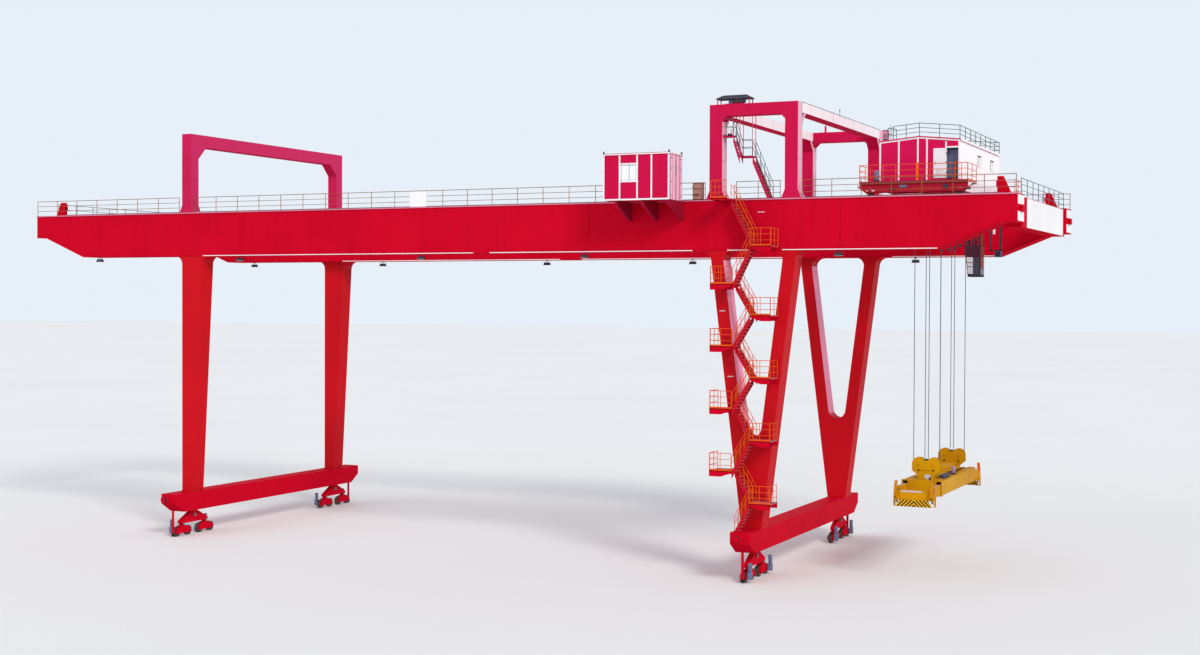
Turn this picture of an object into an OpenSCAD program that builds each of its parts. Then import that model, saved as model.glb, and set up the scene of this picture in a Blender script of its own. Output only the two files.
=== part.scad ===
// Rail mounted container gantry crane, modelled at half size.
// X runs along the main girders, Y from the front girder to the rear girder, Z up.
// The origin lies on the floor under the middle of the crane.

/* [Main girders] */
// Length of both main girders
girder_length = 35300; // [34400:100:36500]
// Distance between the girder centre lines
girder_gauge = 8250; // [8100:50:8500]
// Width of a girder over its flanges
girder_w = 1000; // [940:10:1060]
// Depth of a girder between its tapered ends
girder_h = 1520; // [1400:10:1600]
// Height of the girder tops above the floor
girder_top = 11205; // [11000:5:11400]
// Depth of a girder at its ends
end_h = 805; // [760:5:900]
// Level stretch under each girder end
end_flat = 430; // [300:10:600]
// Length of the sloping underside near each end
end_taper = 1770; // [1500:10:2000]
// Thickness of the girder flanges
flange_t = 30; // [20:1:40]
// Overhang of the flanges beyond the webs
flange_out = 30; // [20:1:40]
// Width of a splice plate on the webs
splice_w = 120; // [60:5:200]
// Projection of the lifting lug on a girder end
lug_out = 80; // [40:5:120]
// Depth of the end ties between the girders
tie_h = 860; // [700:10:900]
// Width of the end ties
tie_w = 500; // [400:10:600]
// Distance of the end ties from the girder ends
tie_inset = 60; // [40:5:120]

/* [Trolley runway] */
// Distance from the crane's middle plane to each runway rail
rail_y = 3875; // [3830:5:3920]
// Height of a runway rail
rail_h = 70; // [60:1:90]
// Width of a runway rail's head
rail_head = 50; // [40:1:60]
// Distance from the girder end to the middle of an end stop
stop_inset = 495; // [450:5:520]
// Height of an end stop
stop_h = 510; // [450:10:540]

/* [Handrails] */
// Height of every handrail
handrail_h = 525; // [480:5:560]
// Distance between walkway posts
post_pitch = 915; // [800:5:1000]
// Thickness of posts and rails
rail_t = 20; // [16:1:26]

/* [Left portal and legs] */
// Outer edge of the left legs, from the crane's middle
left_x = 10990; // [10800:10:11200]
// Width of a left leg under the girder
leg_top_w = 850; // [760:10:900]
// Width of a left leg on its sill beam
leg_foot_w = 420; // [360:10:500]
// Depth of every leg along Y
leg_d = 625; // [560:5:680]
// Radius of the fillets where legs meet girders
leg_fillet = 280; // [200:10:320]
// Width of the portal columns, both ways
column_w = 400; // [360:5:420]
// Height of the left portal's top above the floor
left_portal_top = 13930; // [13880:5:14100]
// Depth of the left portal's beam
left_beam_h = 425; // [380:5:440]
// Size of the chamfers under the left portal's beam
left_chamfer = 425; // [300:5:500]

/* [Right portal and legs] */
// Middle of the right legs, from the crane's middle
right_x = 10000; // [9900:10:10100]
// Half width of the right legs under the girder
v_top_half = 1340; // [1280:10:1380]
// Half width of the right legs at the reference height
v_low_half = 565; // [520:5:620]
// Height at which the lower half width is given
v_low_z = 3500; // [3300:50:3700]
// Width of each member of a right leg
v_member = 390; // [350:5:420]
// Height of the crotch between the members
v_crotch_z = 4200; // [4000:50:4400]
// Half width of the right portal
right_portal_half = 1370; // [1340:10:1400]
// Height of the right portal's top above the floor
right_portal_top = 14010; // [13960:5:14100]
// Depth of the right portal's front and rear beams
right_beam_h = 345; // [300:5:380]
// Depth of the right portal's side beams
side_beam_h = 300; // [260:5:320]
// Spread of a portal column's foot on each side
foot_spread = 100; // [60:5:120]

/* [Ground level] */
// Height of the sill beams' tops
sill_top = 1500; // [1450:10:1560]
// Depth of a sill beam
sill_h = 640; // [560:10:680]
// Width of a sill beam
sill_w = 620; // [560:10:680]
// Length of a sill beam without its buffers
sill_length = 11200; // [11000:50:11300]
// Length of a buffer
buffer_l = 300; // [260:10:360]
// Tread diameter of a ground wheel
wheel_d = 300; // [280:2:320]
// Width of a ground wheel's tread
wheel_w = 90; // [70:2:110]

/* [Electrical house] */
// Middle of the electrical house along the girder
e_house_x = 6730; // [6600:10:6900]
// Length of the electrical house
e_house_l = 2140; // [2000:10:2300]
// Depth of the electrical house
e_house_d = 1000; // [900:10:1080]
// Height of the electrical house over its roof
e_house_h = 1400; // [1300:10:1500]
// Distance of its back from the girder's outer edge
e_house_gap = 100; // [80:5:140]
// Thickness of its walls
e_wall = 50; // [40:1:60]

/* [Stairs] */
// Width of a flight
stair_w = 300; // [260:5:320]
// Height of a single step
riser = 100; // [90:1:120]
// Height of the first landing under the girder top
first_drop = 1405; // [1350:5:1480]
// Height lost in the second flight
second_drop = 1100; // [1050:5:1150]
// Height lost in each further flight
flight_drop = 910; // [880:5:930]
// Thickness of a landing
landing_t = 20; // [15:1:30]

/* [Trolley] */
// Distance from the girder end to the trolley's middle
trolley_end = 3050; // [3020:10:3300]
// Length of the trolley's end trucks
truck_l = 3130; // [3000:10:3200]
// Distance between the wheels of a truck
trolley_base = 2550; // [2450:10:2650]
// Diameter of a trolley wheel
trolley_wheel_d = 270; // [250:2:280]
// Length of the machinery house along Y
house_l = 5650; // [5500:10:5750]
// Width of the machinery house along X
house_w = 2370; // [2300:10:2420]
// Height of the machinery house walls
house_h = 1105; // [1060:5:1115]
// Shift of the house and hoist from the trolley's middle
hoist_dx = -120; // [-140:5:-100]
// Length of the driver's cab along X
cab_l = 480; // [440:10:520]
// Width of the driver's cab along Y
cab_w = 560; // [520:10:600]
// Height of the driver's cab
cab_h = 970; // [920:10:1000]

/* [Spreader] */
// Height of the spreader beams' undersides above the floor
spreader_z = 2480; // [2450:5:2600]
// Length of the spreader's main frame
frame_l = 4550; // [4400:10:4700]
// Width of the spreader
spreader_w = 1180; // [1140:5:1240]
// Depth of the spreader's main tubes
tube_h = 430; // [410:5:450]
// Width of the spreader's main tubes
tube_w = 180; // [170:2:200]
// Distance from the middle to an end beam's outer face
reach = 3200; // [3100:10:3300]
// Distance between the two sheave housings
housing_gap = 3350; // [3200:10:3500]
// Radius of a hoist sheave
sheave_r = 160; // [150:2:170]
// Diameter of a hoist rope
rope_d = 20; // [14:1:24]
// Length of a corner flipper from its pivot
flipper_l = 430; // [400:10:460]

/* [Hidden] */
$fn = 40;

crane_red = [0.80, 0.04, 0.14];
rail_yellow = [0.93, 0.62, 0.05];
spreader_yellow = [0.86, 0.58, 0.02];
trim_white = [0.93, 0.92, 0.92];
dark_grey = [0.22, 0.23, 0.26];
steel_grey = [0.55, 0.56, 0.58];

// Clearances
seat_gap = 0.4;
slide_gap = 8;
run_gap = 10;

// Girder levels and faces
half_l = girder_length / 2;
girder_y = girder_gauge / 2;
girder_bottom = girder_top - girder_h;
outer_y = girder_y + girder_w / 2;
inner_y = girder_y - girder_w / 2;
web_out_y = outer_y - flange_out;
web_in_y = inner_y + flange_out;
splice_x = [-14640, -8470, -1250, 4610, 12700];
splice_out = 12;
lamp_dx = -130;
arc_steps = 8;

// Right leg slopes
v_slope = (v_top_half - v_low_half) / (girder_bottom - v_low_z);
v_angle = atan(v_slope);
function v_half(z) = v_low_half + v_slope * (z - v_low_z);
crotch_r = (v_half(v_crotch_z) - v_member) * cos(v_angle) / (1 - sin(v_angle));
crotch_zc = v_crotch_z + crotch_r;
leg_y = outer_y - leg_d / 2;
left_leg_x = -left_x + leg_foot_w / 2;

// Portal places
column_y = outer_y - column_w / 2;
left_beam_under = left_portal_top - left_beam_h;
left_column_top = left_beam_under - left_chamfer;
right_beam_under = right_portal_top - right_beam_h;
portal_in = right_portal_half - column_w;
side_beam_inset = 0;

// Electrical house levels
e_base_t = 60;
e_roof_t = 60;
e_house_y = -(outer_y + e_house_gap + e_house_d / 2);
e_house_z = girder_top - 30;
e_bracket_h = 570;
e_bracket_t = 60;
batten_w = 46;
batten_t = 12;
e_batten_x = [0, 520, 1087, 1547];
e_bracket_x = [380, 1240];
window_w = 545;
window_h = 505;
window_z = 565;
glass_t = 8;

// Stair places, all measured from the middle of the right legs
flight_count = 10;
right_near = 177;
right_far = 802;
left_near = -373;
left_far = -1063;
top_near = -558;
last_foot = -270;
stair_gap = 60;
band_gap = 40;
landing_d = stair_gap + 2 * stair_w + band_gap + 20;
stringer_t = 20;
stringer_h = 220;
tread_d = 110;
tread_t = 12;
tread_drop = 90;
stair_rail_t = 16;
stair_rail_h = 450;
bracket_h = 170;
bracket_tip = 60;

// Stair inside the front frame of the right portal
portal_stair_w = 310;
portal_stair_y = -(outer_y - 45 - portal_stair_w / 2);
portal_foot_x = 510;
portal_low_x0 = -440;
portal_low_x1 = -34;
portal_low_z = round(girder_top + 0.516 * (right_beam_under - girder_top));
portal_high_x1 = -640;
portal_high_z = round(girder_top + 0.77 * (right_beam_under - girder_top));
hanger_t = 20;

// Trolley place and levels
trolley_x = half_l - trolley_end;
rail_top = girder_top + rail_h;
truck_top = rail_top + 305;
truck_w = 260;
truck_h = 250;
truck_plate = 25;
deck_t = 20;
deck_out = 185;
cross_w = 260;
cross_h = 300;
house_z = truck_top + 170;
floor_t = 35;
wall_z = house_z + floor_t;
house_x = trolley_x + hoist_dx;
house_wall = 50;
eaves_z = wall_z + house_h;
roof_edge = 30;
roof_rise = 115;
roof_out = 30;
roof_rail_h = 385;
roof_box_x = 80;
roof_box_w = 145;
roof_box_h = 350;
door_w = 330;
door_h = 860;
leaf_w = 385;
side_window_w = 500;
side_window_h = 360;
side_window_z = 485;
side_window_y = [-150, 1700];
house_batten_x = [-607, -43, 224];
cab_x0 = 780;
cab_rake = 100;
cab_wall = 30;
cab_drop = 2490;
cab_window_z = 70;
cab_window_h = 540;
hanger_w = 60;
hanger_beam_h = 100;
ladder_w = 240;
service_y = 1800;
service_l = 360;
service_drop = 1845;
cross_bottom = house_z - cross_h;
cab_z = cross_bottom - cab_drop;

// Spreader levels
tube_t = 15;
spreader_top = spreader_z + tube_h;
spreader_x = house_x;
tube_x = spreader_w / 2 - tube_w / 2;
arm_overlap = 700;
end_beam_w = 200;
end_beam_h = 290;
end_beam_z = spreader_z - 60;
lock_in = 70;
lock_h = 90;
skirt_h = 180;
skirt_t = 20;
skirt_top_w = 415;
skirt_foot_w = 550;
guide_t = 15;
housing_t = 20;
housing_in = 130;
lobe_r = sheave_r + 42;
sheave_x = 222;
sheave_z = spreader_top + 443;
head_base_h = 240;
head_base_w = 500;
head_low_h = 120;
stem_w = 500;
stem_drop = 330;
stem_top = 110;
cross_box_w = 140;
plate_hole_drop = 190;
plate_hole_d = 50;
flipper_w = 60;
flipper_t = 50;
flipper_x = spreader_w / 2 - 60;
flipper_z = spreader_z + 75;
flipper_y = reach + 60;
flipper_bend = 170;
flipper_lean = 110;
flipper_pin = 20;
ear_t = 20;
ear_out = 100;
ear_h = 60;

// Extrusions of outlines drawn in the XZ plane and in the YZ plane
module along_y(w) {
  rotate([90, 0, 0]) linear_extrude(height = w, center = true) children();
}
module along_x(w) {
  rotate([90, 0, 90]) linear_extrude(height = w, center = true) children();
}
// A box given by its low corner and its high corner
module block(a, b) {
  translate(a) cube([b[0] - a[0], b[1] - a[1], b[2] - a[2]]);
}
function arc(cx, cz, r, a0, a1) =
  [for (i = [0 : arc_steps]) let (a = a0 + (a1 - a0) * i / arc_steps)
    [cx + r * cos(a), cz + r * sin(a)]];

// Underside of a girder, from the left end to the right end
under_points = [
  [-half_l, girder_top - end_h],
  [-half_l + end_flat, girder_top - end_h],
  [-half_l + end_flat + end_taper, girder_bottom],
  [half_l - end_flat - end_taper, girder_bottom],
  [half_l - end_flat, girder_top - end_h],
  [half_l, girder_top - end_h]
];
function lifted(points, dz) = [for (p = points) [p[0], p[1] + dz]];
function backward(points) = [for (i = [len(points) - 1 : -1 : 0]) points[i]];

module girder(y, out) {
  web_w = girder_w - 2 * flange_out;
  translate([0, y, 0]) {
    along_y(web_w)
      polygon(concat([[half_l, girder_top], [-half_l, girder_top]], under_points));
    along_y(girder_w)
      translate([-half_l, girder_top - flange_t]) square([girder_length, flange_t]);
    along_y(girder_w)
      polygon(concat(under_points, backward(lifted(under_points, flange_t))));
    for (x = splice_x)
      translate([x - splice_w / 2, -web_w / 2 - splice_out, girder_bottom + flange_t])
        cube([splice_w, web_w + 2 * splice_out, girder_h - 2 * flange_t]);
    for (s = [-1, 1])
      translate([s * (half_l + lug_out / 2), 0, girder_top - end_h / 2])
        cube([lug_out, girder_w / 3, 180], center = true);
  }
}
module front_girder() { color(crane_red) girder(-girder_y, -1); }
module rear_girder() { color(crane_red) girder(girder_y, 1); }

// Box beams that close the frame at both girder ends
tie_x = half_l - tie_inset - tie_w / 2;
tie_top = girder_top - 50;
module end_ties() {
  plate_top = girder_top - flange_t - 5;
  plate_bottom = girder_top - end_h + flange_t + 5;
  color(crane_red)
    for (s = [-1, 1]) {
      translate([s * tie_x, 0, tie_top - tie_h / 2])
        cube([tie_w, 2 * inner_y, tie_h], center = true);
      for (t = [-1, 1])
        translate([s * tie_x, t * (inner_y + flange_out / 2), (plate_top + plate_bottom) / 2])
          cube([tie_w + 60, flange_out, plate_top - plate_bottom], center = true);
    }
}

stop_x = half_l - stop_inset;
stop_base = 390;
stop_head = 160;
stop_w = 160;
stop_pad = 30;
stop_pad_h = 150;
module trolley_rails() {
  foot_w = 80;
  color(steel_grey)
    for (s = [-1, 1])
      translate([0, s * rail_y, girder_top])
        along_x(2 * stop_x - stop_base - 2)
          polygon([[-foot_w / 2, 0], [foot_w / 2, 0], [foot_w / 2, 10], [12, 16],
            [12, rail_h - 25], [rail_head / 2, rail_h - 20], [rail_head / 2, rail_h],
            [-rail_head / 2, rail_h], [-rail_head / 2, rail_h - 20], [-12, rail_h - 25],
            [-12, 16], [-foot_w / 2, 10]]);
}

// Tapered stops with a buffer face towards the trolley
module end_stops() {
  color(crane_red)
    for (sx = [-1, 1]) for (sy = [-1, 1])
      translate([sx * stop_x, sy * rail_y, girder_top])
        scale([sx, 1, 1]) {
          along_y(stop_w)
            polygon([[-stop_base / 2, 0], [stop_base / 2, 0],
              [-stop_base / 2 + stop_head, stop_h], [-stop_base / 2, stop_h]]);
          translate([-stop_base / 2 - stop_pad, -stop_w / 2, truck_top - girder_top - stop_pad_h])
            cube([stop_pad + 1, stop_w, stop_pad_h]);
        }
}

// A flat handrail in the XZ plane, with posts, three rails and a toe board
module fence(x0, x1, z, y, h = handrail_h, pitch = post_pitch) {
  n = max(1, round((x1 - x0) / pitch));
  translate([0, y, 0])
    along_y(rail_t) {
      for (i = [0 : n])
        translate([x0 + (x1 - x0 - rail_t) * i / n, z]) square([rail_t, h]);
      for (k = [1 / 3, 2 / 3, 1])
        translate([x0, z + h * k - rail_t]) square([x1 - x0, rail_t]);
    }
}
// The same handrail in the YZ plane
module fence_y(y0, y1, z, x, h = handrail_h, pitch = post_pitch) {
  n = max(1, round((y1 - y0) / pitch));
  translate([x, 0, 0])
    along_x(rail_t) {
      for (i = [0 : n])
        translate([y0 + (y1 - y0 - rail_t) * i / n, z]) square([rail_t, h]);
      for (k = [1 / 3, 2 / 3, 1])
        translate([y0, z + h * k - rail_t]) square([y1 - y0, rail_t]);
    }
}

fence_y0 = outer_y - 30;
fence_gap = 30;
module walkway(s) {
  left_in = -left_x + column_w + foot_spread + fence_gap;
  left_out = -left_x - foot_spread - fence_gap;
  portal_out = right_portal_half + foot_spread + fence_gap;
  portal_gap = portal_in - foot_spread - fence_gap;
  fence(-half_l + fence_gap, left_out, girder_top, s * fence_y0);
  fence(left_in, right_x - portal_out, girder_top, s * fence_y0);
  fence(right_x + (s < 0 ? top_near + 20 : -portal_gap), right_x + portal_gap,
    girder_top, s * fence_y0);
  fence(right_x + portal_out, half_l - fence_gap, girder_top, s * fence_y0);
}
module front_handrail() { color(rail_yellow) walkway(-1); }
module rear_handrail() { color(rail_yellow) walkway(1); }
module end_handrails() {
  color(rail_yellow)
    for (s = [-1, 1])
      fence_y(-inner_y + 20, inner_y - 20, tie_top, s * (tie_x + tie_w / 2 - 30));
}

// Column with a spread foot, drawn about its own middle
module column(z1) {
  foot_h = 260;
  along_y(column_w)
    polygon([[-column_w / 2 - foot_spread, girder_top], [column_w / 2 + foot_spread, girder_top],
      [column_w / 2 + foot_spread, girder_top + 20], [column_w / 2, girder_top + foot_h],
      [column_w / 2, z1], [-column_w / 2, z1], [-column_w / 2, girder_top + foot_h],
      [-column_w / 2 - foot_spread, girder_top + 20]]);
}
module left_portal_columns() {
  color(crane_red)
    for (s = [-1, 1])
      translate([-left_x + column_w / 2, s * column_y, 0]) column(left_column_top);
}
module left_portal_beam() {
  in_y = outer_y - column_w;
  color(crane_red)
    translate([-left_x + column_w / 2, 0, 0])
      along_x(column_w)
        polygon([[-outer_y, left_column_top], [-in_y, left_column_top],
          [-in_y + left_chamfer, left_beam_under], [in_y - left_chamfer, left_beam_under],
          [in_y, left_column_top], [outer_y, left_column_top],
          [outer_y, left_portal_top], [-outer_y, left_portal_top]]);
}

// Four sided frame over the right legs
module portal_frame(s) {
  translate([right_x, s * column_y, 0]) {
    for (t = [-1, 1])
      translate([t * (right_portal_half - column_w / 2), 0, 0]) column(right_portal_top);
    along_y(column_w)
      translate([-right_portal_half, right_beam_under])
        square([2 * right_portal_half, right_beam_h]);
    for (t = [-1, 1])
      scale([t, 1, 1])
        along_y(column_w)
          polygon([[portal_in + 1, right_beam_under - 150], [portal_in + 1, right_beam_under + 1],
            [portal_in - 150, right_beam_under + 1], [portal_in - 150, right_beam_under]]);
  }
}
module right_portal_front() { color(crane_red) portal_frame(-1); }
module right_portal_rear() { color(crane_red) portal_frame(1); }
module right_portal_side_beams() {
  in_y = outer_y - column_w;
  haunch = 160;
  z1 = right_portal_top;
  z0 = right_portal_top - side_beam_h;
  color(crane_red)
    for (t = [-1, 1])
      translate([right_x + t * (right_portal_half - column_w / 2), 0, 0])
        along_x(column_w)
          polygon([[-in_y, z0 - haunch], [-in_y + haunch, z0], [in_y - haunch, z0],
            [in_y, z0 - haunch], [in_y, z1], [-in_y, z1]]);
}

// Hipped rain roof of the small service hoist on the portal's front beam
module hoist_canopy() {
  x0 = right_x - 1180;
  x1 = right_x - 100;
  y0 = -outer_y + 20;
  y1 = -outer_y + column_w - 20;
  z0 = right_portal_top;
  post_h = 150;
  color(dark_grey) {
    for (x = [x0 + 30, x1 - 60]) for (y = [y0 + 20, y1 - 50])
      block([x, y, z0], [x + 30, y + 30, z0 + post_h + 1]);
    hull() {
      block([x0, y0, z0 + post_h], [x1, y1, z0 + post_h + 20]);
      block([x0 + 180, y0 + 150, z0 + post_h + 120], [x1 - 180, y1 - 150, z0 + post_h + 125]);
    }
    block([x0 + 300, y0 + 120, z0], [x1 - 300, y1 - 120, z0 + 120]);
  }
}

// Left leg, flush with the portal column outside and tapering inside
module left_leg(s) {
  r = leg_fillet;
  zr = girder_bottom - r;
  x0 = -left_x;
  translate([0, s * leg_y, 0])
    along_y(leg_d)
      polygon(concat(
        arc(x0 - r, zr, r, 90, 0),
        [[x0, sill_top], [x0 + leg_foot_w, sill_top]],
        arc(x0 + leg_top_w + r, zr, r, 180, 90)));
}
module left_front_leg() { color(crane_red) left_leg(-1); }
module left_rear_leg() { color(crane_red) left_leg(1); }

// Right leg, a V with a round crotch over a solid stem
module right_leg(s) {
  r = leg_fillet;
  zr = girder_bottom - r;
  h = v_half(zr);
  foot = v_half(sill_top);
  translate([right_x, s * leg_y, 0])
    along_y(leg_d)
      polygon(concat(
        arc(-h - r, zr, r, 90, 0),
        [[-foot, sill_top], [foot, sill_top]],
        arc(h + r, zr, r, 180, 90),
        arc(h - v_member - r, zr, r, 90, 0),
        arc(0, crotch_zc, crotch_r, -v_angle, -180 + v_angle),
        arc(-h + v_member + r, zr, r, 180, 90)));
}
module right_front_leg() { color(crane_red) right_leg(-1); }
module right_rear_leg() { color(crane_red) right_leg(1); }

// Sill beam along Y with sloping ends and a buffer at each end
module sill_beam(x) {
  e = sill_length / 2;
  z0 = sill_top - sill_h;
  translate([x, 0, 0]) {
    along_x(sill_w)
      polygon([[-e, sill_top], [e, sill_top], [e, sill_top - 330], [e - 480, z0],
        [-e + 480, z0], [-e, sill_top - 330]]);
    for (s = [-1, 1])
      translate([0, s * (e + buffer_l / 2 - 1), sill_top - 165])
        rotate([90, 0, 0]) cylinder(d = 180, h = buffer_l + 2, center = true);
  }
}
module left_sill_beam() { color(crane_red) sill_beam(left_leg_x); }
module right_sill_beam() { color(crane_red) sill_beam(right_x); }

// Wheels and bogies
flange_r = wheel_d / 2 + 15;
bogie_pitch = 1200;
wheel_pitch = 600;
bogie_in = wheel_w / 2 + 15;
bogie_plate = 25;
bogie_z = flange_r;
module bogie_frame() {
  z2 = bogie_z + 190;
  for (t = [-1, 1])
    translate([t * (bogie_in + bogie_plate / 2), 0, 0]) {
      along_x(bogie_plate)
        polygon([[-wheel_pitch / 2 - 90, bogie_z - 70], [wheel_pitch / 2 + 90, bogie_z - 70],
          [wheel_pitch / 2 + 90, bogie_z + 90], [130, z2], [-130, z2],
          [-wheel_pitch / 2 - 90, bogie_z + 90]]);
      for (u = [-1, 1])
        translate([t * (bogie_plate / 2 + 10), u * wheel_pitch / 2, bogie_z])
          rotate([0, 90, 0]) cylinder(r = 55, h = 22, center = true);
    }
  block([-bogie_in - 1, -130, z2 - 25], [bogie_in + 1, 130, z2]);
}
module bogie_set() {
  top = sill_top - sill_h;
  z2 = bogie_z + 190;
  arm_w = 2 * bogie_in + 2 * bogie_plate;
  for (u = [-1, 1]) {
    translate([0, u * bogie_pitch / 2, 0]) bogie_frame();
    block([-60, u * bogie_pitch / 2 - 60, z2 - 1], [60, u * bogie_pitch / 2 + 60, z2 + 71]);
  }
  along_x(arm_w)
    polygon([[-bogie_pitch / 2 - 110, z2 + 70], [bogie_pitch / 2 + 110, z2 + 70],
      [bogie_pitch / 2 + 110, z2 + 160], [170, top - 60], [-170, top - 60],
      [-bogie_pitch / 2 - 110, z2 + 160]]);
  block([-110, -110, top - 61], [110, 110, top]);
}
module at_corners() {
  for (x = [left_leg_x, right_x]) for (s = [-1, 1])
    translate([x, s * leg_y, 0]) children();
}
module bogies() { color(crane_red) at_corners() bogie_set(); }
module ground_wheel() {
  rotate([0, 90, 0]) {
    cylinder(d = wheel_d, h = wheel_w, center = true);
    for (t = [-1, 1])
      translate([0, 0, t * (wheel_w / 2 - 6)]) cylinder(r = flange_r, h = 12, center = true);
    cylinder(r = 50, h = 2 * bogie_in, center = true);
  }
}
module ground_wheels() {
  color(steel_grey)
    at_corners()
      for (u = [-1, 1]) for (v = [-1, 1])
        translate([0, u * bogie_pitch / 2 + v * wheel_pitch / 2, bogie_z]) ground_wheel();
}

// Electrical house on brackets outside the front girder
e_x0 = e_house_x - e_house_l / 2;
e_x1 = e_house_x + e_house_l / 2;
e_y0 = e_house_y - e_house_d / 2;
e_y1 = e_house_y + e_house_d / 2;
e_top = e_house_z + e_house_h - e_roof_t;
e_win_x = e_x0 + 565;
module e_house_walls() {
  door_y = 700;
  color(crane_red)
    difference() {
      block([e_x0, e_y0, e_house_z], [e_x1, e_y1, e_top]);
      block([e_x0 + e_wall, e_y0 + e_wall, e_house_z + e_base_t],
        [e_x1 - e_wall, e_y1 - e_wall, e_top + 1]);
      block([e_win_x, e_y0 - 1, e_house_z + window_z],
        [e_win_x + window_w, e_y0 + e_wall + 1, e_house_z + window_z + window_h]);
    }
}
module e_house_roof() {
  o = 25;
  color(crane_red) {
    block([e_x0 - o, e_y0 - o, e_top], [e_x1 + o, e_y1 + o, e_top + e_roof_t - 20]);
    block([e_x0 + 40, e_y0 + 40, e_top + e_roof_t - 21], [e_x1 - 40, e_y1 - 40, e_top + e_roof_t]);
    for (x = [e_x0, e_x1 - 30]) for (y = [e_y0, e_y1 - 30])
      block([x, y, e_top + e_roof_t - 21], [x + 30, y + 30, e_top + e_roof_t + 60]);
  }
}
module e_house_window() {
  y0 = e_y0 + e_wall / 2;
  color([0.45, 0.6, 0.7])
    block([e_win_x, y0, e_house_z + window_z],
      [e_win_x + window_w, y0 + glass_t, e_house_z + window_z + window_h]);
}
module e_house_battens() {
  w = batten_w / 2;
  t = batten_t;
  z0 = e_house_z;
  frame_w = 30;
  front_x = concat([for (d = e_batten_x) e_x0 + w + d], [e_x1 - w]);
  color(trim_white) {
    for (x = front_x)
      block([x - w, e_y0 - t, z0], [x + w, e_y0, e_top]);
    for (i = [0, 1])
      block([front_x[i], e_y0 - t, z0], [front_x[i + 1], e_y0, z0 + batten_w]);
    for (i = [2, 3])
      block([front_x[i], e_y0 - t, z0], [front_x[i + 1], e_y0, z0 + batten_w]);
    block([front_x[1], e_y0 - t, z0], [front_x[2], e_y0, z0 + batten_w]);
    for (z = [z0 + window_z - frame_w, z0 + window_z + window_h])
      block([e_win_x - frame_w, e_y0 - t, z],
        [e_win_x + window_w + frame_w, e_y0, z + frame_w]);
    for (x = [e_x0 - t, e_x1]) for (y = [e_y0 + 340, e_y0 + 640])
      block([x, y - w, z0], [x + t, y + w, e_top]);
  }
}
module e_house_brackets() {
  color(crane_red)
    for (x = concat([for (d = e_bracket_x) e_x0 + d], [e_x1 - e_bracket_t]))
      translate([x + e_bracket_t / 2, 0, 0])
        along_x(e_bracket_t)
          polygon([[-web_out_y, e_house_z], [e_y0, e_house_z], [e_y0, e_house_z - 80],
            [-outer_y - 60, e_house_z - e_bracket_h], [-web_out_y, e_house_z - e_bracket_h]]);
}

cabinet_gap = 450;
cabinet_w = 270;
cabinet_d = 240;
cabinet_h = 500;
cabinet_lid = 20;
module utility_cabinet() {
  x0 = right_x - right_portal_half - foot_spread - cabinet_gap;
  y0 = -fence_y0 + rail_t;
  color([0.35, 0.16, 0.12]) {
    block([x0, y0, girder_top], [x0 + cabinet_w, y0 + cabinet_d, girder_top + cabinet_h]);
    block([x0 - 15, y0 - 8, girder_top + cabinet_h - 1],
      [x0 + cabinet_w + 15, y0 + cabinet_d + 15, girder_top + cabinet_h + cabinet_lid]);
  }
}
sign_x = -1443;
sign_w = 640;
sign_h = 490;
module sign_board() {
  y0 = -fence_y0 - rail_t / 2;
  color(trim_white)
    block([sign_x - sign_w / 2, y0 - 8, girder_top + 5],
      [sign_x + sign_w / 2, y0, girder_top + 5 + sign_h]);
}

// Floodlights hung from the girders' undersides, beside the splices
module floodlights() {
  color(dark_grey)
    for (s = [-1, 1]) for (x = splice_x)
      translate([x + lamp_dx, s * (outer_y - 120), girder_bottom]) {
        translate([-15, -15, -90]) cube([30, 30, 90]);
        translate([0, 0, -130])
          along_y(120)
            polygon([[-100, 40], [100, 40], [130, -40], [-130, -40]]);
      }
}

// Stairs: heights and ends of the landings, counted from the girder top
function landing_z(i) =
  i == 0 ? girder_top :
  i == 1 ? girder_top - first_drop :
  girder_top - first_drop - second_drop - (i - 2) * flight_drop;
function is_right(i) = i % 2 == 1;
function near_x(i) = right_x + (i == 0 ? top_near : is_right(i) ? right_near : left_near);
function far_x(i) = right_x + (is_right(i) ? right_far : left_far);
function foot_x(i) = i == flight_count ? right_x + last_foot : near_x(i);
function foot_z(i) = i == flight_count ? sill_top : landing_z(i);
stair_in_y = -outer_y - stair_gap;
function band_y(i) = stair_in_y - stair_w / 2 - (i % 2 == 1 ? stair_w + band_gap : 0);

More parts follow.
